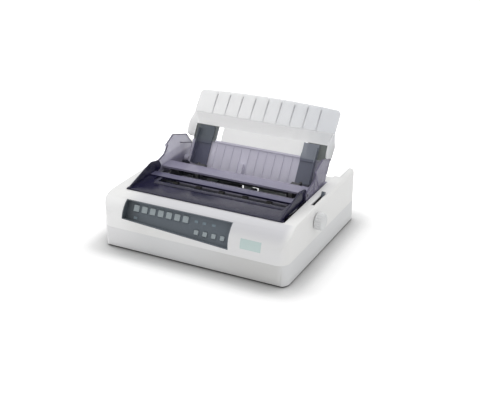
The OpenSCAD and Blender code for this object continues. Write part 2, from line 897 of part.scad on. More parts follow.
// Curved trough under the platen, with a chute to the rear and legs to the floor
module paper_pan() {
    r0 = platen_r + 1.5;
    r1 = r0 + pan_t;
    chute_end = ledge_rear - 3;
    chute_y0 = platen_y + r1 * cos(340);
    chute_z0 = platen_z + r1 * sin(340);
    chute_z1 = platen_z + 1 - pan_t;
    pan_hw = bail_arm_x - 1;
    leg_x = pan_hw - 12.5;
    leg_w = 4;
    leg_y = 22;
    leg_top = chute_z0 + (chute_z1 - chute_z0) * (leg_y - chute_y0) / (chute_end - chute_y0) + pan_t / 2;
    color([0.3, 0.3, 0.32]) {
        along_x(-pan_hw, pan_hw) translate([platen_y, platen_z]) polygon(concat(
            [for (a = [205:9:340]) [r0 * cos(a), r0 * sin(a)]],
            [[chute_end - platen_y, 1], [chute_end - platen_y, 1 - pan_t]],
            [for (a = [340:-9:205]) [r1 * cos(a), r1 * sin(a)]]));
        both_sides() {
            block(leg_x, leg_x + leg_w, platen_y - 5, platen_y + 5, floor_z, platen_z - r0 - pan_t / 2);
            block(leg_x - 6, leg_x + leg_w + 6, platen_y - 9, platen_y + 9, floor_z, floor_z + 2);
            block(leg_x, leg_x + leg_w, leg_y - leg_w / 2, leg_y + leg_w / 2, floor_z, leg_top);
        }
    }
}

module carriage_motor() {
    color([0.25, 0.25, 0.27]) difference() {
        translate([-pulley_x, pulley_y, floor_z]) cylinder(r = motor_r, h = 22);
        translate([-pulley_x, pulley_y, floor_z + 8]) cylinder(r = motor_shaft_r + run_fit, h = 20);
    }
}

module feed_motor() {
    x1 = -frame_in - frame_t;
    color([0.25, 0.25, 0.27]) difference() {
        union() {
            rod_x(feed_motor_r, x1 - feed_motor_l, x1, idler_y, pinion_z);
            block(x1 - 2, x1, idler_y - feed_motor_r - 5, idler_y + feed_motor_r + 5,
                pinion_z - 14, pinion_z + 14);
        }
        rod_x(motor_shaft_r + run_fit, x1 - 12, x1 + 1, idler_y, pinion_z);
    }
}

// Closed belt round both pulleys
module carriage_belt() {
    color(black_plastic) translate([0, pulley_y, belt_z - belt_w / 2])
        linear_extrude(belt_w) difference() {
            belt_outline(belt_r + belt_t);
            belt_outline(belt_r);
        }
}

module belt_outline(r) {
    translate([-pulley_x, -r]) square([2 * pulley_x, 2 * r]);
    for (s = [-1, 1]) translate([s * pulley_x, 0]) circle(r);
}

// A flanged pulley on an upright axis
module pulley(x, bore) {
    translate([x, pulley_y, pulley_bottom]) difference() {
        union() {
            cylinder(r = pulley_r, h = pulley_top - pulley_bottom);
            for (z = [0, pulley_top - pulley_bottom - flange_t])
                translate([0, 0, z]) cylinder(r = belt_r + belt_t, h = flange_t);
        }
        translate([0, 0, -1]) cylinder(r = bore, h = pulley_top - pulley_bottom + 2);
    }
}

// The drive pulley with the upright shaft of its motor
module drive_pulley() {
    shaft_low = floor_z + 9;
    color(gear_white) {
        pulley(-pulley_x, motor_shaft_r);
        translate([-pulley_x, pulley_y, shaft_low])
            cylinder(r = motor_shaft_r, h = pulley_top + 1 - shaft_low);
    }
}

module idle_pulley() {
    color(gear_white) pulley(pulley_x, idler_stud_r + run_fit);
}

// Platen and its gears

module platen_roller() {
    color(rubber_black) difference() {
        rod_x(platen_r, -platen_hw, platen_hw, platen_y, platen_z);
        rod_x(shaft_r, -platen_hw - 1, platen_hw + 1, platen_y, platen_z);
    }
}

module platen_shaft() {
    color(steel) rod_x(shaft_r, -shaft_end, half_w + knob_w - 3, platen_y, platen_z);
}

module platen_knob() {
    x0 = half_w + 1;
    color(shell_grey) difference() {
        union() {
            rod_x(knob_r, x0, x0 + knob_w - 1, platen_y, platen_z);
            rod_x(knob_r - 3, x0 + knob_w - 1, x0 + knob_w, platen_y, platen_z);
        }
        rod_x(shaft_r, x0 - 1, half_w + knob_w - 3, platen_y, platen_z);
        for (i = [0:knob_grooves - 1])
            translate([x0 + 3, platen_y, platen_z]) rotate([i * 360 / knob_grooves, 0, 0])
                translate([0, 0, knob_r + 0.6]) rotate([0, 90, 0]) cylinder(r = 1.5, h = knob_w);
    }
}

module platen_gear() {
    color(gear_white) difference() {
        gear(wheel_teeth, 0, gear_x, gear_w, platen_y, platen_z);
        rod_x(shaft_r, gear_x - 1, gear_x + gear_w + 1, platen_y, platen_z);
    }
}

module idler_gear() {
    color(gear_white) difference() {
        union() {
            gear(wheel_teeth, tooth_pitch / 2, gear_x, gear_w, idler_y, platen_z);
            rod_x(hub_r, -frame_in + air, gear_x + 1, idler_y, platen_z);
        }
        rod_x(idler_stud_r + run_fit, -frame_in, gear_x + gear_w + 1, idler_y, platen_z);
    }
}

module motor_pinion() {
    color(steel) {
        gear(pinion_teeth, 0, gear_x, gear_w, idler_y, pinion_z);
        rod_x(motor_shaft_r, -frame_in - frame_t - 11, gear_x + 1, idler_y, pinion_z);
    }
}

// Paper bail

module bail_bar() {
    color(steel) {
        rod_x(bail_r, -bail_arm_x, bail_arm_x, bail_y, bail_z);
        both_sides() {
            along_x(bail_arm_x, bail_arm_x + bail_arm_t) bail_arm();
            rod_x(bail_r, bail_arm_x + 1, shaft_end, bail_pivot_y, bail_pivot_z);
        }
    }
}

// Side view of one bail arm: a bar between two round ends
module bail_arm() {
    along = atan2(bail_pivot_z - bail_z, bail_pivot_y - bail_y);
    reach = sqrt(pow(bail_pivot_z - bail_z, 2) + pow(bail_pivot_y - bail_y, 2));
    translate([bail_y, bail_z]) circle(bail_r + 1);
    translate([bail_pivot_y, bail_pivot_z]) circle(bail_r + 1);
    translate([bail_y, bail_z]) rotate(along) translate([0, -2]) square([reach, 4]);
}

module bail_rollers() {
    color(rubber_black) for (i = [0:bail_count - 1]) {
        x = (i - (bail_count - 1) / 2) * bail_pitch;
        difference() {
            rod_x(bail_roller_r, x - 6, x + 6, bail_y, bail_z);
            rod_x(bail_r + run_fit, x - 7, x + 7, bail_y, bail_z);
        }
    }
}

// Carriage

// Carriage: a block on the shaft, a shelf over the rail and a foot round the belt
module carriage() {
    hw = carriage_hw;
    foot_y1 = pulley_y + belt_r + belt_t;
    belt_low = belt_z - belt_w / 2;
    color(black_plastic) difference() {
        union() {
            block(-hw, hw, carriage_y - 12, carriage_y + 14, carriage_z - 9, carriage_top);
            block(-hw, hw, rail_y0 + 1, carriage_y - 12, rail_z + air, carriage_top);
            block(-12, 12, foot_y1 - 5, foot_y1 + 6, belt_low - 1, carriage_top - 2);
        }
        rod_x(carriage_shaft_r + run_fit, -hw - 1, hw + 1, carriage_y, carriage_z);
        block(-13, 13, foot_y1 - belt_t - 0.5, foot_y1 + 0.5, belt_low - 2, belt_low + belt_w + 0.8);
    }
}

// Print head: a finned block with a snout that reaches to the ribbon
module print_head() {
    back = carriage_y - 16;
    front = carriage_y + 10;
    fins = 6;
    fin_pitch = (front - back - 2) / (fins - 1);
    color([0.16, 0.16, 0.18]) {
        block(-head_hw, head_hw, back, front, carriage_top, platen_z + 4);
        for (i = [0:fins - 1]) {
            y = back + i * fin_pitch;
            block(-head_hw, head_hw, y, y + 2, platen_z + 3.5, platen_z + 12);
        }
    }
    color(steel) block(-4, 4, front, head_front, platen_z - 5, platen_z + 4);
}

module ribbon_cartridge() {
    back = carriage_y + 16;
    color(black_plastic) difference() {
        union() {
            both_sides() {
                block(head_hw + 2, ribbon_hw, carriage_y - 24, back, carriage_top, ribbon_top);
                block(33, 38, back - 1, head_front + 0.9, platen_z - 6, platen_z + 5);
            }
            block(-ribbon_hw, ribbon_hw, carriage_y - 32, carriage_y - 20, carriage_top, ribbon_top);
            block(-34, 34, head_front + 0.2, head_front + 0.8, platen_z - 5, platen_z + 4);
        }
        translate([ribbon_knob_x, ribbon_knob_y, ribbon_top - 8])
            cylinder(r = ribbon_stem_r + run_fit, h = 9);
    }
}

module ribbon_knob() {
    color([0.2, 0.35, 0.6]) translate([ribbon_knob_x, ribbon_knob_y, 0]) {
        translate([0, 0, ribbon_top - 7]) cylinder(r = ribbon_stem_r, h = 8);
        translate([0, 0, ribbon_top + air]) cylinder(r = ribbon_knob_r, h = 3);
        translate([-1.5, -ribbon_knob_r + 1, ribbon_top + air + 2]) cube([3, 2 * ribbon_knob_r - 2, 5]);
    }
}

// Access cover

module access_cover() {
    z0 = brow_h + air;
    z1 = z0 + cover_t;
    bar_z = z1 + 1.3;
    oval_hw = 2.5;
    inner = rail_out - rail_t;
    color(smoke) {
        difference() {
            union() {
                block(-rail_out, rail_out, cover_front, cover_rear, z0, z1);
                block(-inner, inner, slot_rear, cover_rear, z1 - 0.5, bar_z);
            }
            block(slot_left, slot_right, slot_front, slot_rear, z0 - 1, z1 + 1);
            block(slot_left, slot_right, groove_y - 1, groove_y + 1, z1 - 0.8, z1 + 1);
            block(oval_x - oval_hw, oval_x + oval_hw, slot_front + 7, slot_rear - 3, z0 - 1, z1 + 1);
            for (y = [slot_front + 7, slot_rear - 3])
                translate([oval_x, y, z0 - 1]) cylinder(r = oval_hw, h = cover_t + 2);
        }
        block(-cover_lip_hw, cover_lip_hw, cover_front, cover_front + 8, z0, z1);
        both_sides() {
            along_x(inner, rail_out)
                polygon([[cover_front, z0], [cover_front, z1 + 1], [-44, rail_top - 1], [-36, rail_top],
                    [-12, rail_top - 5], [-7, hinge_z + 7], [-7, hinge_z - 6], [-14, z0]]);
            rod_x(hinge_r + 3, inner, rail_out, hinge_y, hinge_z);
            rod_x(hinge_r, rail_out - 1, ear_out + 0.3, hinge_y, hinge_z);
        }
    }
}

// Guide base: two ears, a ledge between them and flanges on the shelf

// A narrow rib on an ear between two places in Y and Z
module ear_rib(a, b) {
    w = 1.2;
    polygon([[a.x - w, a.y], [b.x - w, b.y], [b.x + w, b.y], [a.x + w, a.y]]);
}

module guide_base() {
    ledge_t = 2.5;
    lip_h = 4;
    color(smoke) {
        ear(right_ear, ledge_t);
        mirror([1, 0, 0]) ear(left_ear, ledge_t);
        block(-ear_in - 1, ear_in + 1, ledge_front, ledge_rear, ledge_z - ledge_t, ledge_z);
        block(-ear_in - 1, ear_in + 1, ledge_front, ledge_front + ledge_t, ledge_z - lip_h, ledge_z);
    }
}

// The right ear with its foot on the shelf, its buffer and two ribs
module ear(outline, foot_t) {
    out = ear_out + 1.5;
    difference() {
        along_x(ear_in, ear_out) polygon(outline);
        rod_x(hinge_r + run_fit, ear_in - 1, ear_out + 1, hinge_y, hinge_z);
        rod_x(hinge_r + run_fit, ear_in - 1, ear_out + 1, pivot_y, pivot_z);
    }
    block(ear_in - 4, out, ledge_front - 12, ledge_rear + 19, deck_z, deck_z + foot_t);
    rod_x(buffer_r, ear_in, out, buffer_y, buffer_z);
    along_x(ear_out - 0.5, ear_out + 1) {
        ear_rib([buffer_y, buffer_z], [ledge_front + 10, ledge_z]);
        ear_rib([buffer_y, buffer_z], [ledge_rear + 4, ledge_z]);
    }
}

// Sheet guide

module separator() {
    rib_span = 196;
    color(smoke) on_guide() {
        difference() {
            guide_block(-sep_hw, sep_hw, sep_foot, sep_len, 0, sep_t);
            guide_block(-sep_gap_hw, sep_gap_hw, sep_mid, sep_len + 1, -1, sep_t + 1);
        }
        for (i = [0:sep_ribs - 1]) {
            x = (i / (sep_ribs - 1) - 0.5) * rib_span;
            guide_block(x - rib_w / 2, x + rib_w / 2, -2, bar_s0 + 1, sep_t - 0.5, rib_n);
        }
        guide_block(-sep_hw + 2, sep_hw - 2, bar_s0, bar_s0 + bar_w, sep_t - 0.5, bar_n);
        both_sides() {
            translate([0, pivot_s, pivot_n]) rotate([0, 90, 0]) {
                translate([0, 0, sep_hw - 1]) cylinder(r = hinge_r + 3, h = ear_in - air - sep_hw + 1);
                translate([0, 0, sep_hw]) cylinder(r = hinge_r, h = ear_out + 0.3 - sep_hw);
            }
            rest_channel();
        }
        guide_block(-34, -25, sep_foot, 20, sep_t - 0.5, sep_t + 6);
    }
}

// Bracket behind the separator that the tongue of the paper rest slides in
module rest_channel() {
    wall = 3;
    top = tongue_low + rest_travel + rest_grip;
    guide_block(tongue_hw + air, tongue_hw + air + wall, -2, top, rest_back - air - 1, 0.5);
    guide_block(tongue_hw - 5, tongue_hw + air + wall, -2, top, rest_back - air - 2, rest_back - air);
}

// Height of the top edge of the paper rest at x, lower towards the sides
function rest_edge(x) = rest_top - rest_crown * pow(x / rest_hw, 2);

// Paper rest: a narrow tongue, a web that leans forward, a ribbed plate and two cheeks
module paper_rest() {
    bevel = 6;
    cheek_t = 2.2;
    web_step = rest_t * tan(atan2(bend_n - rest_front, rest_bend - rest_low) / 2);
    color(shell_white) on_guide() {
        guide_block(-tongue_hw, tongue_hw, tongue_low, rest_low + web_step, rest_back, rest_front);
        intersection() {
            along_guide(-rest_hw, rest_hw)
                polygon([[rest_low, rest_front], [rest_bend, bend_n], [rest_top, rest_top_n],
                    [rest_top, rest_top_n - rest_t], [rest_bend + web_step, bend_n - rest_t],
                    [rest_low + web_step, rest_back], [rest_low, rest_back]]);
            raised(rest_back - 1, bend_n - rest_back + 2) polygon(concat(
                [[rest_hw, rest_bend - 3], [rest_hw, rest_edge(rest_hw) - bevel]],
                [for (i = [5:-1:-5]) [i * (rest_hw - bevel) / 5, rest_edge(i * (rest_hw - bevel) / 5)]],
                [[-rest_hw, rest_edge(rest_hw) - bevel], [-rest_hw, rest_bend - 3],
                    [-sep_hw - 1, rest_low], [sep_hw + 1, rest_low]]));
        }
        for (i = [0:rest_ribs - 1]) {
            x = (i - (rest_ribs - 1) / 2) * rest_rib_pitch;
            along_guide(x - rib_w / 2, x + rib_w / 2)
                polygon([[rest_bend, bend_n - 1], [rest_bend, bend_n + 0.4],
                    [rest_edge(x) - 5, rest_top_n + 2.5], [rest_edge(x) - 3, rest_top_n - 1]]);
        }
        both_sides() along_guide(sep_hw + air, sep_hw + air + cheek_t)
            polygon([[rest_low + 1, rest_back], [rest_low - 30, 0], [rest_low - 32, 16],
                [rest_low - 30, 30], [rest_low - 20, 34], [rest_low - 7, 35], [rest_low + 2, 32],
                [rest_low + 11, 27], [rest_bend, bend_n - 1]]);
    }
}

// An edge guide in the middle at x, whose fence stands from fence_x
module edge_guide(x, fence_x) {
    x0 = x - edge_w / 2;
    x1 = x + edge_w / 2;
    fence_n = edge_n + edge_t + fence_h;
    color(smoke) on_guide() difference() {
        union() {
            guide_block(x0, x1, edge_low, edge_len, edge_n, edge_n + edge_t);
            guide_block(fence_x, fence_x + edge_t, edge_low, edge_len - 8, edge_n, fence_n);
            guide_block(x0, x1, bar_s0 - 6, bar_s0 + bar_w + 6, edge_n, edge_n + 2 * edge_t);
        }
        guide_block(x0 - 1, x1 + 1, bar_s0 - air, bar_s0 + bar_w + air, edge_n - 1, bar_n + air);
    }
}

module left_edge_guide() {
    edge_guide(left_edge_x, left_edge_x - edge_w / 2);
}

module right_edge_guide() {
    edge_guide(right_edge_x, right_edge_x + edge_w / 2 - edge_t);
}

// Tractors

// A tractor: two side plates round the sprocket, joined below, with lugs for the door
module right_tractor() {
    plate_t = tractor_hw - sprocket_w / 2 - air;
    top = door_z - door_t / 2 - air;
    low = tractor_rod_z - 7;
    color([0.2, 0.2, 0.22]) translate([tractor_x, 0, 0]) difference() {
        union() {
            both_sides() along_x(tractor_hw - plate_t, tractor_hw)
                polygon([[tractor_y - 8, low], [tractor_y + 8, low], [tractor_y + 16, platen_z - 8],
                    [tractor_y + 16, top], [tractor_y - 16, top], [tractor_y - 16, platen_z - 8]]);
            block(-tractor_hw, tractor_hw, tractor_y - 8, tractor_y + 8, low, low + 12);
            for (y = [tractor_y - lug_y, tractor_y + lug_y])
                block(tractor_hw - 1, tractor_hw + 4, y - 2, y + 2, door_z - 6, door_z + 2.5);
        }
        for (z = [platen_z, tractor_rod_z])
            rod_x(shaft_r + run_fit, -tractor_hw - 1, tractor_hw + 1, tractor_y, z);
        translate([tractor_hw + 2, tractor_y - lug_y - 6, door_z]) rotate([-90, 0, 0])
            cylinder(r = door_hinge_r + run_fit, h = 2 * lug_y + 12);
    }
}

module left_tractor() {
    mirror([1, 0, 0]) right_tractor();
}

// The door over a tractor, hinged on the outer side
module right_tractor_door() {
    reach = door_reach - air;
    color([0.2, 0.2, 0.22]) {
        block(tractor_x - tractor_hw, door_hinge_x - 1, tractor_y - reach, tractor_y + reach,
            door_z - door_t / 2, door_z + door_t / 2);
        translate([door_hinge_x, tractor_y, door_z]) rotate([-90, 0, 0]) {
            translate([0, 0, -reach]) cylinder(r = door_hinge_r + 1, h = 2 * reach);
            translate([0, 0, -lug_y - 1.5]) cylinder(r = door_hinge_r, h = 2 * lug_y + 3);
        }
    }
}

module left_tractor_door() {
    mirror([1, 0, 0]) right_tractor_door();
}

// A sprocket wheel whose pins carry the holes at the paper's edge
module right_sprocket() {
    w = sprocket_w;
    color(gear_white) difference() {
        union() {
            rod_x(platen_r, tractor_x - w / 2, tractor_x + w / 2, tractor_y, platen_z);
            for (i = [0:sprocket_pins - 1])
                translate([tractor_x, tractor_y, platen_z]) rotate([i * 360 / sprocket_pins, 0, 0])
                    translate([0, 0, platen_r - 2]) cylinder(r = pin_r, h = pin_stand + 2);
        }
        rod_x(shaft_r + run_fit, tractor_x - w, tractor_x + w, tractor_y, platen_z);
    }
}

module left_sprocket() {
    mirror([1, 0, 0]) right_sprocket();
}

// Shaft that drives the sprockets, with its gear moulded on
module tractor_shaft() {
    color(steel) {
        rod_x(shaft_r, -shaft_end, shaft_end, tractor_y, platen_z);
        gear(wheel_teeth, 0, gear_x, gear_w, tractor_y, platen_z);
    }
}

// Paper lever and power switch

module paper_lever() {
    hw = slot_w / 2 - 1.5;
    grip_hw = hw + 1;
    color(panel_dark) translate([0, 0, lever_z]) rotate([-lever_lean, 0, 0]) difference() {
        union() {
            rod_x(hub_r, frame_in + frame_t + air, lever_x + hw, 0, 0);
            block(lever_x - hw, lever_x + hw, -3, 3, 0, lever_l - 2);
            block(lever_x - grip_hw, lever_x + grip_hw, -4, 4, lever_l - 10, lever_l);
        }
        rod_x(idler_stud_r + run_fit, frame_in, lever_x + 4, 0, 0);
    }
}

module power_rocker() {
    low = -switch_hh;
    color(black_plastic) translate([switch_x, switch_y, switch_z]) rotate([0, 0, switch_turn]) {
        block(-8, 0, -switch_hw, switch_hw, low, switch_hh);
        translate([0, 0, low - 3]) cylinder(r = switch_pin_r, h = 2 * switch_hh + 6);
        translate([0, 0, low]) cylinder(r = switch_pin_r + 2, h = 2 * switch_hh);
    }
}

module key_1() {
    wide_key(0);
}

module key_2() {
    wide_key(1);
}

module key_3() {
    wide_key(2);
}

module key_4() {
    wide_key(3);
}

module key_5() {
    wide_key(4);
}

module key_6() {
    wide_key(5);
}

module key_7() {
    wide_key(6);
}

module key_8() {
    small_panel_key(0);
}

module key_9() {
    small_panel_key(1);
}

module key_10() {
    small_panel_key(2);
}

module key_11() {
    small_panel_key(3);
}

lower_case();
rubber_feet();
upper_case();
case_screws();
panel_bezel();
status_lenses();
panel_board();
name_badge();
mains_inlet();
main_board();
power_supply();
left_frame();
right_frame();
carriage_shaft();
carriage_rail();
paper_pan();
carriage_motor();
feed_motor();
carriage_belt();
guide_base();
tractor_rod();
access_cover();
separator();
paper_rest();
left_edge_guide();
right_edge_guide();
platen_roller();
platen_shaft();
platen_knob();
platen_gear();
idler_gear();
motor_pinion();
carriage();
print_head();
ribbon_cartridge();
ribbon_knob();
paper_lever();
bail_bar();
bail_rollers();
left_tractor();
right_tractor();
left_tractor_door();
right_tractor_door();
left_sprocket();
right_sprocket();
tractor_shaft();
drive_pulley();
idle_pulley();
power_rocker();
key_1();
key_2();
key_3();
key_4();
key_5();
key_6();
key_7();
key_8();
key_9();
key_10();
key_11();
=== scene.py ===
# %% [markdown]
# # A desktop dot matrix printer
# The printer comes in as a finished set of solids that fit and move. This lesson gives those
# solids their finish: moulded plastic, tinted covers, rubber, steel and printed circuit board.
# Where a solid is too plain, a finer surface takes its place on the same moving body.

# %% Load the fixed frame
import json
import math

import bmesh
import bpy
import numpy as np
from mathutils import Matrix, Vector


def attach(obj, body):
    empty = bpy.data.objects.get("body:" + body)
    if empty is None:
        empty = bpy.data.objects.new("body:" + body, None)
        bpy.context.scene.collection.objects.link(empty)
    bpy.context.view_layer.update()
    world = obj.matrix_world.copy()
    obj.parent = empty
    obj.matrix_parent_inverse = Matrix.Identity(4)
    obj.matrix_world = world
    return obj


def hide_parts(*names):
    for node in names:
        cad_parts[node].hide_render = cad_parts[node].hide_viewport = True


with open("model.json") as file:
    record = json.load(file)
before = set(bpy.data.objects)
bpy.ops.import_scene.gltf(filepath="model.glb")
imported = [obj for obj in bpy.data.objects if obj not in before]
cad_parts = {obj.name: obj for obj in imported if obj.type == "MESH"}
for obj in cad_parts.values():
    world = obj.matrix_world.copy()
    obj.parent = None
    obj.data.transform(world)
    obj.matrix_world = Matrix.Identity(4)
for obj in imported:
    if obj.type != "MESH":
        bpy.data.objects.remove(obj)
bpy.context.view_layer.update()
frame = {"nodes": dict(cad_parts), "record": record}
nodes = frame["nodes"]

# %% [markdown]
# ## Camera
# The camera stands in front and to the right, a little under two metres away, and looks down by
# 25 degrees. Its place is worked out from two angles and a distance, so it is easy to change.

# %% Camera
AIM = Vector((0.0186, 0.0, 0.0517))
AZIMUTH, ELEVATION, DISTANCE = math.radians(27.1), math.radians(25.0), 1.893
FOCAL_PX, FRAME_PX, SENSOR_MM = 935.3, 480, 36.0

toward = Vector((math.sin(AZIMUTH) * math.cos(ELEVATION),
                 -math.cos(AZIMUTH) * math.cos(ELEVATION), math.sin(ELEVATION)))
camera_data = bpy.data.cameras.new("camera")
camera_data.lens = FOCAL_PX / FRAME_PX * SENSOR_MM
camera_data.sensor_width = SENSOR_MM
camera = bpy.data.objects.new("camera", camera_data)
camera.location = AIM + toward * DISTANCE
camera.rotation_euler = (-toward).to_track_quat("-Z", "Y").to_euler()
bpy.context.collection.objects.link(camera)
bpy.context.scene.camera = camera
print("lens", round(camera_data.lens, 2), "at", [round(c, 3) for c in camera.location])

# %% [markdown]
# ## Light
# Product pictures of pale plastic use large, soft lamps. One big area lamp on the left makes the
# form, a weaker one on the right opens the shadows, and an even, pale world fills in the rest.

# %% Lamps and world
scene = bpy.context.scene
scene.view_settings.view_transform = "Standard"
LAMP_TARGET = Vector((0, 0, 0.08))
WORLD_ON_PRINTER, WORLD_SEEN = 0.62, 1.0


def area_lamp(name, place, size, power):
    """A square lamp of the given size at a place, aimed at the middle of the printer."""
    data = bpy.data.lights.new(name, "AREA")
    data.size = size
    data.energy = power
    lamp = bpy.data.objects.new(name, data)
    lamp.location = place
    lamp.rotation_euler = (LAMP_TARGET - Vector(place)).to_track_quat("-Z", "Y").to_euler()
    bpy.context.collection.objects.link(lamp)


area_lamp("key_lamp", (-1.5, 0.15, 1.7), 1.4, 13)
area_lamp("fill_lamp", (1.2, -1.7, 1.0), 1.5, 2.5)
area_lamp("top_lamp", (0.3, 1.0, 1.7), 1.4, 12)

world = bpy.data.worlds.new("studio")
scene.world = world
world.use_nodes = True
world_nodes, world_links = world.node_tree.nodes, world.node_tree.links
world_nodes["Background"].inputs["Color"].default_value = (1, 1, 1, 1)
path = world_nodes.new("ShaderNodeLightPath")
seen = world_nodes.new("ShaderNodeMath")
seen.operation = "MAXIMUM"
world_links.new(path.outputs["Is Camera Ray"], seen.inputs[0])
world_links.new(path.outputs["Is Transmission Ray"], seen.inputs[1])
strength = world_nodes.new("ShaderNodeMapRange")
strength.inputs["To Min"].default_value = WORLD_ON_PRINTER
strength.inputs["To Max"].default_value = WORLD_SEEN
world_links.new(seen.outputs[0], strength.inputs["Value"])
world_links.new(strength.outputs["Result"], world_nodes["Background"].inputs["Strength"])
print("lamps", [(lamp.name, round(lamp.energy, 1)) for lamp in bpy.data.lights])

# %% [markdown]
# ## Surface effects that several finishes share
# Moulded plastic is never one flat colour. The tool leaves a fine grain, the resin clouds a little,
# and dust settles on faces that look up. Each effect is a node group that is built once and then
# placed in every material with its own values.


# %% Helpers for shader groups
def tone(red, green, blue):
    """Display values from 0 to 255, turned into the linear colour that a shader expects."""
    share = np.array([red, green, blue]) / 255.0
    linear = np.where(share <= 0.04045, share / 12.92, ((share + 0.055) / 1.055) ** 2.4)
    return (*[float(v) for v in linear], 1.0)


def start_group(name, inputs, outputs):
    """An empty shader group with the named sockets; each socket is (name, type, default)."""
    group = bpy.data.node_groups.new(name, "ShaderNodeTree")
    for label, kind, default in inputs:
        socket = group.interface.new_socket(label, in_out="INPUT", socket_type="NodeSocket" + kind)
        if default is not None:
            socket.default_value = default
    for label, kind in outputs:
        group.interface.new_socket(label, in_out="OUTPUT", socket_type="NodeSocket" + kind)
    return group, group.nodes.new("NodeGroupInput"), group.nodes.new("NodeGroupOutput")


def add(tree, kind, links=(), **values):
    """A node of a kind with its values set; links are (input, the socket or value it takes)."""
    node = tree.nodes.new("ShaderNode" + kind)
    for key, value in values.items():
        setattr(node, key, value)
    for key, source in links:
        if isinstance(source, (int, float, tuple)):
            node.inputs[key].default_value = source
        else:
            tree.links.new(source, node.inputs[key])
    return node


# %% Moulded plastic: cloudy tone, fine grain and settled dust
CLOUD_SCALE, SPECKLE_SCALE = 14.0, 160.0
DUST_TONE = (0.52, 0.50, 0.47, 1)
moulded, given, put = start_group(
    "moulded_surface",
    [("Vector", "Vector", None), ("Color", "Color", (0.8, 0.8, 0.8, 1)),
     ("Roughness", "Float", 0.5), ("Clouding", "Float", 0.04), ("Grain Scale", "Float", 900.0),
     ("Dust", "Float", 0.1)],
    [("Color", "Color"), ("Roughness", "Float"), ("Height", "Float")])
cloud = add(moulded, "TexNoise", [("Vector", given.outputs["Vector"]), ("Scale", CLOUD_SCALE),
                                  ("Detail", 3.0)])
darkest = add(moulded, "Math", [(0, 1.0), (1, given.outputs["Clouding"])], operation="SUBTRACT")
shade = add(moulded, "MapRange", [("Value", cloud.outputs["Fac"]),
                                  ("To Min", darkest.outputs[0]), ("To Max", 1.0)])
clouded = add(moulded, "MixRGB", [("Fac", 1.0), ("Color1", given.outputs["Color"]),
                                  ("Color2", shade.outputs[0])], blend_type="MULTIPLY")
facing = add(moulded, "NewGeometry")
up = add(moulded, "SeparateXYZ", [(0, facing.outputs["Normal"])])
speckle = add(moulded, "TexNoise", [("Vector", given.outputs["Vector"]),
                                    ("Scale", SPECKLE_SCALE), ("Detail", 5.0)])
settled = add(moulded, "Math", [(0, up.outputs["Z"]), (1, speckle.outputs["Fac"])],
              operation="MULTIPLY", use_clamp=True)
dust_share = add(moulded, "Math", [(0, settled.outputs[0]), (1, given.outputs["Dust"])],
                 operation="MULTIPLY", use_clamp=True)
dusted = add(moulded, "MixRGB", [("Fac", dust_share.outputs[0]), ("Color1", clouded.outputs[0]),
                                 ("Color2", DUST_TONE)])
grain = add(moulded, "TexNoise", [("Vector", given.outputs["Vector"]),
                                  ("Scale", given.outputs["Grain Scale"]), ("Detail", 2.0)])
uneven = add(moulded, "MapRange", [("Value", cloud.outputs["Fac"]), ("To Min", -0.05),
                                   ("To Max", 0.06)])
rough_sum = add(moulded, "Math", [(0, given.outputs["Roughness"]), (1, uneven.outputs[0])],
                operation="ADD", use_clamp=True)
rough_dust = add(moulded, "Math", [(0, rough_sum.outputs[0]), (1, dust_share.outputs[0])],
                 operation="ADD", use_clamp=True)
moulded.links.new(dusted.outputs[0], put.inputs["Color"])
moulded.links.new(rough_dust.outputs[0], put.inputs["Roughness"])
moulded.links.new(grain.outputs["Fac"], put.inputs["Height"])

# %% Drawn or ground metal: fine lines along one direction
drawn, given, put = start_group(
    "drawn_metal",
    [("Vector", "Vector", None), ("Color", "Color", (0.6, 0.6, 0.6, 1)),
     ("Roughness", "Float", 0.3), ("Stretch", "Vector", (6.0, 900.0, 900.0))],
    [("Color", "Color"), ("Roughness", "Float"), ("Height", "Float")])
stretched = add(drawn, "VectorMath", [(0, given.outputs["Vector"]),
                                      (1, given.outputs["Stretch"])], operation="MULTIPLY")
lines = add(drawn, "TexNoise", [("Vector", stretched.outputs[0]), ("Scale", 1.0), ("Detail", 4.0)])
blotch = add(drawn, "TexNoise", [("Vector", given.outputs["Vector"]), ("Scale", 30.0),
                                 ("Detail", 3.0)])
line_tone = add(drawn, "MapRange", [("Value", lines.outputs["Fac"]), ("From Min", 0.3),
                                    ("From Max", 0.7), ("To Min", 0.86), ("To Max", 1.0)])
streaked = add(drawn, "MixRGB", [("Fac", 1.0), ("Color1", given.outputs["Color"]),
                                 ("Color2", line_tone.outputs[0])], blend_type="MULTIPLY")
spread = add(drawn, "MapRange", [("Value", blotch.outputs["Fac"]), ("To Min", -0.08),
                                 ("To Max", 0.12)])
rough_metal = add(drawn, "Math", [(0, given.outputs["Roughness"]), (1, spread.outputs[0])],
                  operation="ADD", use_clamp=True)
drawn.links.new(streaked.outputs[0], put.inputs["Color"])
drawn.links.new(rough_metal.outputs[0], put.inputs["Roughness"])
drawn.links.new(lines.outputs["Fac"], put.inputs["Height"])

# %% A share that grows from 0 to 1 along one direction
zone, given, put = start_group(
    "zone_share",
    [("Vector", "Vector", None), ("Direction", "Vector", (0.0, 0.0, 1.0)),
     ("Start", "Float", 0.0), ("End", "Float", 1.0)],
    [("Mask", "Float")])
run = add(zone, "VectorMath", [(0, given.outputs["Vector"]),
                               (1, given.outputs["Direction"])], operation="DOT_PRODUCT")
ramp = add(zone, "MapRange", [("Value", run.outputs["Value"]),
                              ("From Min", given.outputs["Start"]),
                              ("From Max", given.outputs["End"])],
           interpolation_type="SMOOTHSTEP")
zone.links.new(ramp.outputs["Result"], put.inputs["Mask"])

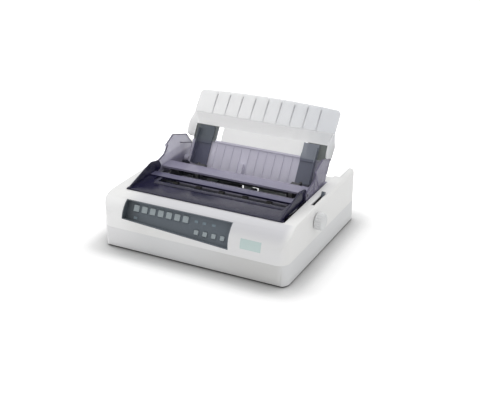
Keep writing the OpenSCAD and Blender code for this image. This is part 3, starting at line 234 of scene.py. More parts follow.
# %% Circuit board: fine straight tracks under green lacquer
tracks, given, put = start_group(
    "board_tracks",
    [("Vector", "Vector", None), ("Lacquer", "Color", (0.02, 0.16, 0.06, 1)),
     ("Track", "Color", (0.06, 0.3, 0.12, 1)), ("Scale", "Float", 120.0)],
    [("Color", "Color"), ("Height", "Float")])
cells = add(tracks, "TexBrick", [("Vector", given.outputs["Vector"]),
                                 ("Scale", given.outputs["Scale"]),
                                 ("Color1", given.outputs["Lacquer"]),
                                 ("Color2", given.outputs["Lacquer"]),
                                 ("Mortar", given.outputs["Track"]), ("Mortar Size", 0.09),
                                 ("Brick Width", 1.6), ("Row Height", 0.32)])
tracks.links.new(cells.outputs["Color"], put.inputs["Color"])
tracks.links.new(cells.outputs["Fac"], put.inputs["Height"])
print("groups", [g.name for g in bpy.data.node_groups])


# %% [markdown]
# ## Materials
# Every finish is one material with a Principled shader and object coordinates, so a pattern keeps
# its real size on any piece. A value that is the same all over sits on the shader's own socket.

# %% A maker for each family of finish
GRAIN_HEIGHT, LINE_HEIGHT = 0.0002, 0.0001


def start_material(name):
    """A material with its Principled shader and the object coordinates that feed its patterns."""
    material = bpy.data.materials.new(name)
    material.use_nodes = True
    tree = material.node_tree
    place = tree.nodes.new("ShaderNodeTexCoord")
    return material, tree, tree.nodes["Principled BSDF"], place.outputs["Object"]


def put_group(tree, group, place, **values):
    """A shared group in a material, fed with object coordinates and its own values."""
    node = tree.nodes.new("ShaderNodeGroup")
    node.node_tree = group
    tree.links.new(place, node.inputs["Vector"])
    for key, value in values.items():
        node.inputs[key.replace("_", " ")].default_value = value
    return node


def bump(tree, shader, height, strength, distance):
    """A bump node that turns a height into a normal for the shader."""
    node = add(tree, "Bump", [("Strength", strength), ("Distance", distance), ("Height", height)])
    tree.links.new(node.outputs["Normal"], shader.inputs["Normal"])


def tinted(tree, place, color, zones):
    """The plain colour with others over it: a zone is (colour, ramps), and its ramps multiply."""
    for other, ramps in zones:
        share = 1.0
        for direction, start, end in ramps:
            part = put_group(tree, zone, place, Direction=direction, Start=start, End=end)
            both = add(tree, "Math", [(0, part.outputs["Mask"]), (1, share)], operation="MULTIPLY")
            share = both.outputs[0]
        laid = add(tree, "MixRGB", [("Fac", share), ("Color1", color), ("Color2", other)])
        color = laid.outputs[0]
    return color


def plastic(name, color, roughness, clouding, grain, dust, depth, alpha=1.0, coat=0.0, zones=()):
    """Moulded plastic or rubber: shared surface group, fine grain as bump, optional see-through."""
    material, tree, shader, place = start_material(name)
    skin = put_group(tree, moulded, place, Color=color, Roughness=roughness, Clouding=clouding,
                     Grain_Scale=grain, Dust=dust)
    if zones:
        tree.links.new(tinted(tree, place, color, zones), skin.inputs["Color"])
    tree.links.new(skin.outputs["Color"], shader.inputs["Base Color"])
    tree.links.new(skin.outputs["Roughness"], shader.inputs["Roughness"])
    bump(tree, shader, skin.outputs["Height"], depth, GRAIN_HEIGHT)
    shader.inputs["Alpha"].default_value = alpha
    shader.inputs["Coat Weight"].default_value = coat
    return material


def metal(name, color, roughness, stretch, depth):
    """Drawn or ground metal with lines along the direction that is stretched least."""
    material, tree, shader, place = start_material(name)
    skin = put_group(tree, drawn, place, Color=color, Roughness=roughness, Stretch=stretch)
    tree.links.new(skin.outputs["Color"], shader.inputs["Base Color"])
    tree.links.new(skin.outputs["Roughness"], shader.inputs["Roughness"])
    bump(tree, shader, skin.outputs["Height"], depth, LINE_HEIGHT)
    shader.inputs["Metallic"].default_value = 1.0
    return material


def board(name, lacquer, track, scale):
    """A lacquered circuit board with copper tracks showing through."""
    material, tree, shader, place = start_material(name)
    skin = put_group(tree, tracks, place, Lacquer=lacquer, Track=track, Scale=scale)
    tree.links.new(skin.outputs["Color"], shader.inputs["Base Color"])
    bump(tree, shader, skin.outputs["Height"], 0.2, LINE_HEIGHT)
    shader.inputs["Roughness"].default_value = 0.32
    return material


# %% Tints that change along a piece, most of them painted light and shade
# A tint is (colour, ramps). A ramp is (direction, start, end), in metres along that direction
X, Y, Z = (1.0, 0.0, 0.0), (0.0, 1.0, 0.0), (0.0, 0.0, 1.0)
LEFT, FRONT, DOWN = (-1.0, 0.0, 0.0), (0.0, -1.0, 0.0), (0.0, 0.0, -1.0)
FRONT_WALL, BROW = (FRONT, 0.1380, 0.1600), (FRONT, 0.1220, 0.1300)
LEFT_WALL = (LEFT, 0.1970, 0.1985)
# Every front tint fades out round the right front corner
CORNER = (LEFT, -0.1980, -0.1800)
# The walls inside the opening, under the deck, are painted deep shade
INSIDE_SHADE = [(X, -0.1860, -0.1850), (LEFT, -0.1860, -0.1850), (FRONT, -0.1168, -0.1165),
          (Y, -0.1200, -0.1190), (DOWN, -0.1065, -0.1055)]
# Painted light makes the front a little brighter at its left end; painted shade makes the left wall
# greyer, and the brow greyer than the top towards its right
SHELL_LIGHT_AND_SHADE = [(tone(255, 255, 255), [FRONT_WALL, (LEFT, 0.1100, 0.1700)]),
              (tone(222, 222, 222), [LEFT_WALL]),
              (tone(238, 238, 239), [BROW, (X, -0.1200, 0.0800), CORNER]),
              (tone(216, 216, 220), [BROW, (Z, 0.0780, 0.1000), (X, -0.1700, -0.1100), CORNER]),
              (tone(84, 84, 90), INSIDE_SHADE)]
LOWER_LIGHT_AND_SHADE = [(tone(240, 240, 241), [FRONT_WALL, (LEFT, 0.0800, 0.1800)]),
              (tone(208, 208, 209), [LEFT_WALL]),
              (tone(214, 214, 213), [BROW, (X, -0.0500, 0.1500), CORNER])]
# Painted shade makes the panel darker at its left end
PANEL_SHADE = [(tone(80, 88, 95), [(LEFT, 0.1150, 0.1400)])]
# Painted shade darkens the ribbed plate a little to the right, and painted light keeps the smooth
# band under it bright, greyer at its right end
BELOW_PLATE = (DOWN, -0.1950, -0.1900)
REST_LIGHT_AND_SHADE = [(tone(168, 171, 178), [(X, -0.13, 0.16)]), (tone(255, 255, 255), [BELOW_PLATE]),
             (tone(206, 209, 214), [BELOW_PLATE, (X, 0.06, 0.14)])]
# The ribs' dark grey is painted shade, which fades out towards their lower ends
RIB_SHADE_FADE = [(tone(208, 210, 213), [(DOWN, -0.2300, -0.1960)])]
# Painted light makes the left ear paler and painted shade makes the right ear darker; the tops of
# the two columns are greyer, and the right column is greyer down to its foot
GUIDE_LIGHT_AND_SHADE = [(tone(210, 207, 226), [(LEFT, 0.1600, 0.1610), (Z, 0.1100, 0.1200)]),
              (tone(136, 132, 156), [(X, 0.1600, 0.1610), (Z, 0.1000, 0.1200)])]
COLUMN_R, COLUMN_L = (X, 0.1035, 0.1045), (LEFT, 0.1035, 0.1045)
COLUMN_TOP, COLUMN_FOOT = (Z, 0.1330, 0.1390), (DOWN, -0.1390, -0.1330)
SHEET_TINT = [(tone(112, 120, 118), [COLUMN_R, COLUMN_TOP]),
              (tone(112, 120, 122), [COLUMN_L, COLUMN_TOP]),
              (tone(160, 158, 180), [COLUMN_R, COLUMN_FOOT])]
RIGHT_HALF, LEFT_HALF = (X, 0.0, 0.01), (LEFT, 0.0, 0.01)
# Painted light makes the right edge guide paler, most of all above the separator, and painted shade
# darkens the lower part of the left guide
EDGE_LIGHT_AND_SHADE = [(tone(152, 158, 170), [RIGHT_HALF, (Z, 0.1350, 0.1390)]),
             (tone(116, 120, 138), [RIGHT_HALF, (DOWN, -0.1390, -0.1350)]),
             (tone(96, 98, 122), [LEFT_HALF, (DOWN, -0.1450, -0.1250)])]
print("shell tints", len(SHELL_LIGHT_AND_SHADE), "rest tints", len(REST_LIGHT_AND_SHADE))

# %% All finishes of the printer
# Plastics: colour, roughness, clouding, grain scale, dust, grain depth, then what only some have
PLASTICS = {
    "shell_white": (tone(240, 240, 239), 0.46, 0.03, 1400, 0.05, 0.10, {"zones": SHELL_LIGHT_AND_SHADE}),
    "shell_grey": (tone(226, 227, 228), 0.48, 0.03, 1400, 0.05, 0.10, {"zones": LOWER_LIGHT_AND_SHADE}),
    "rest_white": (tone(210, 211, 213), 0.42, 0.03, 1600, 0.02, 0.08, {"zones": REST_LIGHT_AND_SHADE}),
    # Painted shade on the ribs of the paper rest
    "rest_rib_shade": (tone(156, 158, 164), 0.50, 0.03, 1600, 0.02, 0.08, {"zones": RIB_SHADE_FADE}),
    "cover_smoke": (tone(26, 24, 56), 0.20, 0.10, 300, 0.0, 0.03, {"alpha": 0.88}),
    "guide_smoke": (tone(164, 160, 184), 0.18, 0.08, 300, 0.05, 0.03,
                    {"alpha": 0.66, "coat": 0.3, "zones": GUIDE_LIGHT_AND_SHADE}),
    "sheet_smoke": (tone(230, 227, 244), 0.20, 0.08, 300, 0.05, 0.03,
                    {"alpha": 0.84, "coat": 0.2, "zones": SHEET_TINT}),
    "edge_smoke": (tone(106, 114, 124), 0.20, 0.08, 300, 0.05, 0.03,
                   {"alpha": 0.82, "coat": 0.2, "zones": EDGE_LIGHT_AND_SHADE}),
    "strip_smoke": (tone(98, 96, 124), 0.22, 0.08, 300, 0.04, 0.03, {"alpha": 0.92, "coat": 0.2}),
    "rim_smoke": (tone(96, 92, 116), 0.20, 0.08, 300, 0.04, 0.03, {"alpha": 0.85, "coat": 0.2}),
    "panel_dark": (tone(98, 107, 116), 0.38, 0.10, 1200, 0.08, 0.08, {"zones": PANEL_SHADE}),
    "key_grey": (tone(164, 174, 178), 0.42, 0.05, 1500, 0.04, 0.06, {}),
    "lens": (tone(120, 136, 146), 0.10, 0.05, 300, 0.02, 0.02, {"coat": 0.6}),
    "badge": (tone(206, 224, 222), 0.25, 0.03, 600, 0.02, 0.03, {"coat": 0.4}),
    "black_plastic": (tone(34, 34, 38), 0.42, 0.20, 1000, 0.12, 0.12, {}),
    "dark_plastic": (tone(58, 58, 64), 0.45, 0.15, 1000, 0.12, 0.12, {}),
    "black_rubber": (tone(30, 30, 31), 0.70, 0.25, 500, 0.18, 0.25, {}),
    "platen_rubber": (tone(28, 27, 42), 0.55, 0.20, 700, 0.10, 0.12, {}),
    "motor_black": (tone(40, 40, 44), 0.35, 0.15, 600, 0.10, 0.10, {"coat": 0.2}),
    "sprocket_grey": (tone(128, 128, 126), 0.35, 0.06, 700, 0.05, 0.05, {}),
    "knob_blue": (tone(44, 82, 150), 0.35, 0.06, 900, 0.05, 0.08, {}),
    "pan_grey": (tone(112, 110, 128), 0.40, 0.10, 800, 0.10, 0.08, {}),
}
# Metals: colour, roughness, stretch of the lines, depth of the lines
METALS = {
    "rod_steel": (tone(205, 207, 210), 0.16, (8.0, 700.0, 700.0), 0.04),
    "metal_case": (tone(122, 124, 130), 0.34, (700.0, 14.0, 14.0), 0.06),
    "dark_steel": (tone(92, 93, 102), 0.34, (8.0, 700.0, 700.0), 0.04),
    "copper": (tone(200, 120, 70), 0.30, (300.0, 300.0, 900.0), 0.2),
}
finish = {name: plastic(name, *values, **some) for name, (*values, some) in PLASTICS.items()}
finish.update({name: metal(name, *values) for name, values in METALS.items()})
finish["board"] = board("board", tone(18, 72, 44), tone(44, 108, 68), 60.0)
# The paper rest is thin white plastic that lets light through
rest_shader = finish["rest_white"].node_tree.nodes["Principled BSDF"]
rest_shader.inputs["Subsurface Weight"].default_value = 1.0
rest_shader.inputs["Subsurface Radius"].default_value = (1.0, 1.0, 1.0)
rest_shader.inputs["Subsurface Scale"].default_value = 0.03
print("finishes", len(finish))

# %% [markdown]
# ## Rounding what the solids leave sharp
# No moulded edge is truly sharp, and a bright line along every edge is what makes plastic look
# real. A copy of a solid has its loose triangles joined, flat neighbours merged, and a small bevel
# on the edges that turn by more than a given angle. The copy replaces the solid and rides on its
# body.


# %% Rounded copies of solids
SHARP_DEG, FLAT_DEG, MERGE_DIST = 32, 0.6, 2e-6


def mark_sharp(mesh, limit_deg):
    """Smooth faces everywhere, except across edges that turn by more than the limit."""
    edit = bmesh.new()
    edit.from_mesh(mesh)
    limit = math.radians(limit_deg)
    for face in edit.faces:
        face.smooth = True
    for edge in edit.edges:
        edge.smooth = len(edge.link_faces) == 2 and edge.calc_face_angle(0.0) < limit
    edit.to_mesh(mesh)
    edit.free()


def add_bevel(piece, width):
    """A bevel on the edges that turn by more than the limit."""
    bevel = piece.modifiers.new("edge", "BEVEL")
    bevel.width = width
    bevel.segments = 2
    bevel.limit_method = "ANGLE"
    bevel.angle_limit = math.radians(SHARP_DEG)
    bevel.miter_outer = "MITER_ARC"
    bevel.harden_normals = True


def joined_copy(node, name):
    """A mesh copy of a solid: doubles merged, flat neighbours joined, and large faces split again.

    A face with a hole in it has many corners, and a bevel could close the hole, so every face with
    more than four corners is cut into triangles.
    """
    mesh = nodes[node].data.copy()
    mesh.name = name
    edit = bmesh.new()
    edit.from_mesh(mesh)
    bmesh.ops.remove_doubles(edit, verts=edit.verts, dist=MERGE_DIST)
    bmesh.ops.dissolve_limit(edit, angle_limit=math.radians(FLAT_DEG), verts=edit.verts,
                             edges=edit.edges, delimit={"MATERIAL"})
    bmesh.ops.triangulate(edit, faces=[face for face in edit.faces if len(face.verts) > 4])
    edit.to_mesh(mesh)
    edit.free()
    return mesh


def home(node):
    """The body that a node belongs to."""
    bodies = frame["record"]["behaviour"]["bodies"]
    return next(body for body, names in bodies.items() if node in names)


def slot_of(node):
    """The record's material slot of a node."""
    parts = frame["record"]["subparts"]
    return next(part["material_slot"] for part in parts if part["node"] == node)


def soften(node, material, width):
    """A rounded copy of a solid that takes its place on the same body."""
    piece = bpy.data.objects.new(node + "_finished", joined_copy(node, node + "_finished"))
    bpy.context.collection.objects.link(piece)
    mark_sharp(piece.data, SHARP_DEG)
    piece.data.materials.clear()
    piece.data.materials.append(finish[material])
    if width:
        add_bevel(piece, width)
    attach(piece, home(node))
    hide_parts(node)


# %% [markdown]
# ## Surfaces from formulas
# The finer pieces are grids of points worked out as whole arrays. A turned piece carries a closed
# profile round an axis. A slab carries the section of a rounded rim round an outline. Both come out
# closed, with their faces pointing outwards.


# %% Helpers that turn arrays into pieces
SMOOTH_DEG = 35


def put_mesh(name, points, faces, material, body):
    """A piece from an (n, 3) array in metres and a list of faces, finished and fixed to a body."""
    mesh = bpy.data.meshes.new(name)
    mesh.from_pydata(np.asarray(points, dtype=float).tolist(), [], faces)
    mesh.validate()
    mark_sharp(mesh, SMOOTH_DEG)
    mesh.materials.append(finish[material])
    piece = bpy.data.objects.new(name, mesh)
    bpy.context.collection.objects.link(piece)
    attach(piece, body)
    return piece


def grid_faces(rows, columns, wrap_rows=False):
    """Quads between neighbouring points of a grid whose columns close, and rows too where asked."""
    r = np.arange(rows if wrap_rows else rows - 1)
    r, c = [part.ravel() for part in np.meshgrid(r, np.arange(columns), indexing="ij")]
    r1, c1 = (r + 1) % rows, (c + 1) % columns
    corners = [r * columns + c, r * columns + c1, r1 * columns + c1, r1 * columns + c]
    return np.stack(corners, axis=1).tolist()


def rounded(corners, radii, steps=5):
    """A closed outline whose corners are arcs that touch both sides at radius / tan(half angle)."""
    corners = np.asarray(corners, dtype=float)
    radii = np.broadcast_to(radii, len(corners))
    pieces = []
    neighbours = np.roll(corners, 1, 0), corners, np.roll(corners, -1, 0), radii
    for before, here, after, radius in zip(*neighbours):
        if radius <= 0:
            pieces.append(here[None])
            continue
        a, b = before - here, after - here
        a, b = a / np.linalg.norm(a), b / np.linalg.norm(b)
        half = math.acos(float(np.clip(a @ b, -1, 1))) / 2
        bisector = (a + b) / np.linalg.norm(a + b)
        middle = here + bisector * radius / math.sin(half)
        first, last = here + a * radius / math.tan(half), here + b * radius / math.tan(half)
        t = np.linspace(0, 1, steps + 1)[:, None]
        arm = (first - middle) * (1 - t) + (last - middle) * t
        pieces.append(middle + arm / np.linalg.norm(arm, axis=1, keepdims=True) * radius)
    return np.concatenate(pieces)


def slab(name, outline, place, low, high, edge, material, body, slot, crown=0.0, steps=3):
    """A plate with a rounded rim, in millimetres.

    Ring k is the outline moved inwards by edge * (1 - cos a) at height high - edge + edge * sin a,
    for a from 0 to 90 degrees, and the same at the bottom. A crown lifts the inside of the top by
    crown * (1 - q * q), where q is the share of the way from the middle to the rim.
    """
    outline = np.asarray(outline, dtype=float)
    turn = np.roll(outline, -1, 0) - np.roll(outline, 1, 0)
    outward = np.stack([turn[:, 1], -turn[:, 0]], axis=1)
    outward /= np.linalg.norm(outward, axis=1, keepdims=True)
    a = np.linspace(0, math.pi / 2, steps + 1)
    inset = np.concatenate([edge * (1 - np.sin(a)), edge * (1 - np.cos(a))])
    height = np.concatenate([low + edge * (1 - np.cos(a)), high - edge + edge * np.sin(a)])
    rings = outline[None] - outward[None] * inset[:, None, None]
    levels = np.broadcast_to(height[:, None, None], (*rings.shape[:2], 1))
    points = np.concatenate([rings, levels], axis=2)
    if crown:
        q = np.linspace(1, 0.1, 5)[1:]
        middle = rings[-1].mean(axis=0)
        inner = middle + (rings[-1] - middle)[None] * q[:, None, None]
        lift = (high + crown * (1 - q * q))[:, None, None]
        lift = np.broadcast_to(lift, (*inner.shape[:2], 1))
        points = np.concatenate([points, np.concatenate([inner, lift], axis=2)])
    rows, columns = points.shape[:2]
    faces = grid_faces(rows, columns)
    faces.append(list(range(columns))[::-1])
    faces.append(list(range((rows - 1) * columns, rows * columns)))
    return put_mesh(name, place(points.reshape(-1, 3)), faces, material, body)


def turned(name, profile, centre, axis, material, body, slot, sides=64, flute=None):
    """A turned piece, in millimetres: P = centre + along * axis + radius * (u cos a + v sin a).

    The profile is a closed loop of (along, radius). flute(a, along) may scale the radius.
    """
    profile = np.asarray(profile, dtype=float)
    axis = np.asarray(axis, dtype=float)
    u = np.roll(axis, 1)
    v = np.cross(axis, u)
    a = np.linspace(0, 2 * math.pi, sides, endpoint=False)
    along, radius = profile[:, 0][:, None], profile[:, 1][:, None]
    scale = flute(a[None], along) if flute else 1.0
    radius = radius * scale * np.ones_like(a)[None]
    points = (np.asarray(centre, dtype=float) + along[..., None] * axis
              + radius[..., None] * (u * np.cos(a)[None, :, None] + v * np.sin(a)[None, :, None]))
    rows = len(profile)
    faces = grid_faces(rows, sides, wrap_rows=True)
    return put_mesh(name, points.reshape(-1, 3) / 1000, faces, material, body)


# %% [markdown]
# ## Two sloping places
# The control panel and the plate of the paper rest each have their own slope. A point is given as
# x, the way up the slope and the height over the face, and is turned into the printer's own x, y
# and z.

# %% The two slopes
def slope_place(y0, z0, slope_deg):
    """A function that places (x, up, out) in millimetres on a slope: y = y0 + up cos - out sin."""
    c, s = math.cos(math.radians(slope_deg)), math.sin(math.radians(slope_deg))

    def place(points):
        x, up, out = np.asarray(points, dtype=float).T
        return np.stack([x, y0 + up * c - out * s, z0 + up * s + out * c], axis=1) / 1000
    return place


# Each slope starts at (y, z) and rises by the last value, in degrees
on_panel = slope_place(-149.5, 101.5, 63.9)
on_plate = slope_place(139.45, 193.28, 51.26)


def level(points):
    """Points given in millimetres, as x, y and height, with no slope."""
    return np.asarray(points, dtype=float) / 1000


def box_outline(x0, x1, y0, y1, radius=0.0, steps=4):
    """A rectangle, counter-clockwise, with rounded corners."""
    return rounded([(x0, y0), (x1, y0), (x1, y1), (x0, y1)], radius, steps)


# %% [markdown]
# ## The finish of every piece
# One table says which finish each solid gets, and how wide its edges are rounded. Pieces that turn
# on a shaft or mesh with each other keep their exact solid and only get the finish.

# %% Which piece gets which finish
ROUNDED = {
    "lower_case": ("shell_grey", 0.0010), "upper_case": ("shell_white", 0.0010),
    "panel_bezel": ("panel_dark", 0.0004), "access_cover": ("cover_smoke", 0.0006),
    "guide_base": ("guide_smoke", 0.0006), "separator": ("sheet_smoke", 0.0004),
    "paper_rest": ("rest_white", 0.0006), "left_edge_guide": ("edge_smoke", 0.0004),
    "right_edge_guide": ("edge_smoke", 0.0004), "carriage": ("black_plastic", 0.0006),
    "ribbon_cartridge": ("black_plastic", 0.0006), "ribbon_knob": ("knob_blue", 0.0004),
    "paper_lever": ("panel_dark", 0.0006), "left_tractor": ("dark_plastic", 0.0004),
    "right_tractor": ("dark_plastic", 0.0004), "left_tractor_door": ("dark_plastic", 0.0003),
    "right_tractor_door": ("dark_plastic", 0.0003), "power_rocker": ("black_plastic", 0.0005),
    "mains_inlet": ("black_plastic", 0.0004), "status_lenses": ("lens", 0.0003),
    "name_badge": ("badge", 0.0), "left_frame": ("metal_case", 0.0002),
    "right_frame": ("metal_case", 0.0002), "carriage_rail": ("metal_case", 0.0002),
    "paper_pan": ("pan_grey", 0.0002),
}
PLAIN = {
    "panel_board": "board", "carriage_shaft": "dark_steel", "tractor_rod": "dark_steel",
    "platen_shaft": "rod_steel", "platen_gear": "dark_plastic", "idler_gear": "dark_plastic",
    "motor_pinion": "rod_steel", "bail_bar": "dark_steel", "left_sprocket": "sprocket_grey",
    "right_sprocket": "sprocket_grey", "tractor_shaft": "dark_steel",
    "drive_pulley": "dark_plastic", "idle_pulley": "dark_plastic",
}

for node, (material, width) in ROUNDED.items():
    soften(node, material, width)
for node, material in PLAIN.items():
    solid = nodes[node]
    solid.data.materials.clear()
    solid.data.materials.append(finish[material])
print("rounded", len(ROUNDED), "plain", len(PLAIN))

# %% [markdown]
# ## Finer pieces
# Where a solid stands for something with more to see, a surface from a formula takes its place. All
# lengths here are millimetres, as on a drawing, and the helpers turn them into metres.

# %% Two more placings, and a band along a path
def upright(points):
    """A drawing of x and z, with its height towards the front: (x, z, out) becomes (x, -out, z)."""
    x, z, out = np.asarray(points, dtype=float).T
    return np.stack([x, -out, z], axis=1) / 1000


def sideways(points):
    """A drawing of y and z, with its height to the right: (y, z, out) becomes (out, y, z)."""
    y, z, out = np.asarray(points, dtype=float).T
    return np.stack([out, y, z], axis=1) / 1000


def swept(name, path, section, up, material, body, closed=False):
    """A section carried along a path, in millimetres: P = path + side * s0 + lift * s1.

    The side is up x tangent and the lift is tangent x side, both of length one, so the section
    stays square to the path. section(k) gives its (s0, s1) corners at row k, counter-clockwise.
    """
    path = np.asarray(path, dtype=float)
    if closed:
        tangent = np.roll(path, -1, 0) - np.roll(path, 1, 0)
    else:
        tangent = np.gradient(path, axis=0)
    tangent /= np.linalg.norm(tangent, axis=1, keepdims=True)
    side = np.cross(np.asarray(up, dtype=float), tangent)
    side /= np.linalg.norm(side, axis=1, keepdims=True)
    lift = np.cross(tangent, side)
    rows = len(path)
    corners = np.stack([np.asarray(section(k), dtype=float) for k in range(rows)])
    points = path[:, None] + side[:, None] * corners[..., :1] + lift[:, None] * corners[..., 1:]
    columns = corners.shape[1]
    faces = grid_faces(rows, columns, wrap_rows=closed)
    if not closed:
        faces += [list(range(columns))[::-1], list(range((rows - 1) * columns, rows * columns))]
    return put_mesh(name, points.reshape(-1, 3) / 1000, faces, material, body)


# %% [markdown]
# ## Keys
# A key cap has a rounded rim and a face that sinks by a third of a millimetre, so each one catches
# the light in its own way.

# %% Key caps
PANEL_FACE = -7.0
CAP_DEPTH, CAP_STANDS, CAP_RIM, CAP_CORNER, CAP_SINKS = 3.6, 2.0, 0.7, 1.3, 0.35
# First x, pitch, way down the slope, width and height of each row of keys
WIDE_ROW, SMALL_ROW = (-130.0, 18.3, 14.0, 12.0, 13.0), (7.0, 18.6, 34.0, 9.0, 9.0)
keys = [(first + pitch * i, down, width, height)
        for (first, pitch, down, width, height), count in ((WIDE_ROW, 7), (SMALL_ROW, 4))
        for i in range(count)]
for number, (x, down, width, height) in enumerate(keys, start=1):
    outline = box_outline(x - width / 2, x + width / 2, -down - height / 2, -down + height / 2,
                          CAP_CORNER)
    cap = slab(f"key_cap_{number}", outline, on_panel, PANEL_FACE - CAP_DEPTH,
               PANEL_FACE + CAP_STANDS, CAP_RIM, "key_grey", f"key_{number}", "key_grey",
               crown=-CAP_SINKS)
    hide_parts(f"key_{number}")
print("keys", len(keys))

# %% Ribs of the paper rest, with painted shade, and a sheet of painted shade on the wall of the panel
RIB_COUNT, RIB_PITCH = 9, 30.0
RIB_FOOT, RIB_TOP, RIB_FALL, PLATE_HALF_W = 1.0, 47.0, 4.0, 164.0
NARROW_END, BROAD_END = 0.6, 1.35
# Each rib is a wedge whose dark finish is painted shade
for number in range(1, RIB_COUNT + 1):
    x = (number - (RIB_COUNT + 1) // 2) * RIB_PITCH
    top = RIB_TOP - RIB_FALL * (x / PLATE_HALF_W) ** 2
    wedge = rounded([(x - NARROW_END, RIB_FOOT), (x + NARROW_END, RIB_FOOT),
                     (x + BROAD_END, top), (x - BROAD_END, top)], 0.3, 3)
    slab(f"rest_rib_shade_{number}", wedge, on_plate, -0.6, 1.1, 0.3, "rest_rib_shade", home("paper_rest"),
         slot_of("paper_rest"))
# A black sheet on the left wall of the panel recess is painted shade
slab("panel_wall_shade", box_outline(-151.9, -151.2, -39, -1), on_panel, PANEL_FACE, -0.6, 0.1,
     "black_plastic", home("panel_bezel"), slot_of("panel_bezel"))
print("ribs", RIB_COUNT)

# %% [markdown]
# ## Turned pieces
# Platen, rollers, knobs, feet, screws and motors are profiles turned round an axis. A profile runs
# along the outside in the direction of the axis and comes back along the bore.

# %% Platen, bail rollers and knobs
PLATEN_Y, PLATEN_Z = -34.0, 82.0
BAIL_Y, BAIL_Z = -43.0736, 101.4584
RIGHT, UP = (1, 0, 0), (0, 0, 1)

platen = turned("platen_sleeve",
                [(-135, 4.1), (-135, 14.9), (-134.6, 15.8), (-133.8, 16.17), (133.8, 16.17),
                 (134.6, 15.8), (135, 14.9), (135, 4.1)],
                (0, PLATEN_Y, PLATEN_Z), RIGHT, "platen_rubber", "platen", "black_rubber", sides=96)
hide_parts("platen_roller")

ROLLER_COUNT, OUTER_ROLLER = 5, 104
ROLLER = [(-6, 2.1), (-6, 4.1), (-5.2, 5), (-2.2, 5), (-1.8, 4.6), (-1.4, 5), (1.4, 5),
          (1.8, 4.6), (2.2, 5), (5.2, 5), (6, 4.1), (6, 2.1)]
for number, x in enumerate(np.linspace(-OUTER_ROLLER, OUTER_ROLLER, ROLLER_COUNT), start=1):
    profile = [(x + along, radius) for along, radius in ROLLER]
    roller = turned(f"bail_roller_{number}", profile, (0, BAIL_Y, BAIL_Z), RIGHT, "black_rubber",
                    "bail_rollers", "black_rubber", sides=40)
    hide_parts("bail_rollers")


def knurl(count, depth, low, high, fade):
    """Grooves between low and high, as the factor 1 - depth * gate * (0.5 + 0.5 cos(n a)) ** 3."""
    def factor(a, along):
        gate = np.clip(np.minimum(along - low, high - along) / fade, 0, 1)
        return 1 - depth * gate * (0.5 + 0.5 * np.cos(count * a)) ** 3
    return factor


knob = turned("knob_grip", [(200, 4.1), (200, 14.6), (200.5, 15.7), (201.6, 16.5), (203.0, 16.9)]
              + [(x, 17.0) for x in np.linspace(204, 212.6, 8)]
              + [(214.0, 16.7), (215.0, 15.8), (215.7, 14.4), (215.9, 12.6), (215.2, 11.2),
                 (215.0, 9.0), (215.3, 4.0), (215.4, 0.02), (212, 0.02), (212, 4.1)],
              (0, PLATEN_Y, PLATEN_Z), RIGHT, "shell_grey", "platen", "shell_grey", sides=216,
              flute=knurl(18, 0.085, 202.0, 214.6, 2.0))
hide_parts("platen_knob")
print("bail rollers", ROLLER_COUNT)

# %% Feet, screws and motors
FOOT_X, FOOT_Y, SCREW_X, SCREW_Y = 165, 138, 190.2, 118
FEED_MOTOR_Y, FEED_MOTOR_Z = 14, 52
REACH, BELT_Y, BELT_Z = 134.0, -108.0, 34.0
QUARTERS = [(-1, -1), (1, -1), (-1, 1), (1, 1)]
FOOT = [(0.0, 0.02), (0.0, 5.0), (0.25, 5.2), (0.25, 6.4), (0.0, 6.6), (0.0, 8.2), (0.3, 8.8),
        (1.0, 9.0), (3.0, 9.0), (3.0, 3.0), (6.0, 3.0), (6.0, 0.02)]
SCREW = [(6.4, 0.02), (6.2, 1.4), (5.1, 1.8), (5.0, 2.4), (5.2, 3.4), (5.9, 3.8), (8.0, 3.8),
         (8.0, 2.0), (56.0, 2.0), (56.0, 0.02)]
for number, (sx, sy) in enumerate(QUARTERS, start=1):
    foot = turned(f"foot_{number}", FOOT, (sx * FOOT_X, sy * FOOT_Y, 0), UP, "black_rubber",
                  "chassis", "black_rubber", sides=56)
    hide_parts("rubber_feet")
for number, (sx, sy) in enumerate(QUARTERS, start=1):
    screw = turned(f"screw_{number}", SCREW, (sx * SCREW_X, sy * SCREW_Y, 0), UP, "rod_steel",
                   "chassis", "rod_steel", sides=40)
    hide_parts("case_screws")

FEED_CAN = [(-186, 0.02), (-186, 5.0), (-185.2, 5.2), (-185.2, 15.0), (-185.8, 15.6),
            (-185.5, 16.8), (-184.6, 17.7), (-183.4, 18.0), (-176.4, 18.0), (-176.2, 17.5),
            (-175.8, 17.5), (-175.6, 18.0), (-160.0, 18.0), (-160.0, 2.6), (-170.0, 2.6),
            (-170.0, 0.02)]
can = turned("feed_motor_can", FEED_CAN, (0, FEED_MOTOR_Y, FEED_MOTOR_Z), RIGHT, "motor_black",
             "chassis", "motor_black", sides=72)
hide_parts("feed_motor")
flange = box_outline(FEED_MOTOR_Y - 23, FEED_MOTOR_Y + 23, FEED_MOTOR_Z - 14,
                     FEED_MOTOR_Z + 14, 5, 6)
slab("feed_motor_flange", flange, sideways, -160.0, -158.0, 0.4, "metal_case", "chassis",
     "motor_black")
BELT_CAN = [(6.0, 0.02), (6.0, 17.0), (6.6, 17.8), (7.6, 18.0), (13.0, 18.0), (13.3, 17.5),
            (13.9, 17.5), (14.2, 18.0), (26.4, 18.0), (27.5, 17.6), (28.0, 16.6), (28.0, 7.0),
            (27.4, 6.6), (27.4, 2.6), (14.0, 2.6), (14.0, 0.02)]
drum = turned("carriage_motor_can", BELT_CAN, (-REACH, BELT_Y, 0), UP, "motor_black", "chassis",
              "motor_black", sides=72)
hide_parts("carriage_motor")
print("feet and screws", 2 * len(QUARTERS))

# %% [markdown]
# ## Print head and ribbon
# The head is a row of thin cooling plates over a block, with a bright nose that reaches the ribbon.
# It all rides on the carriage, in front of the platen.

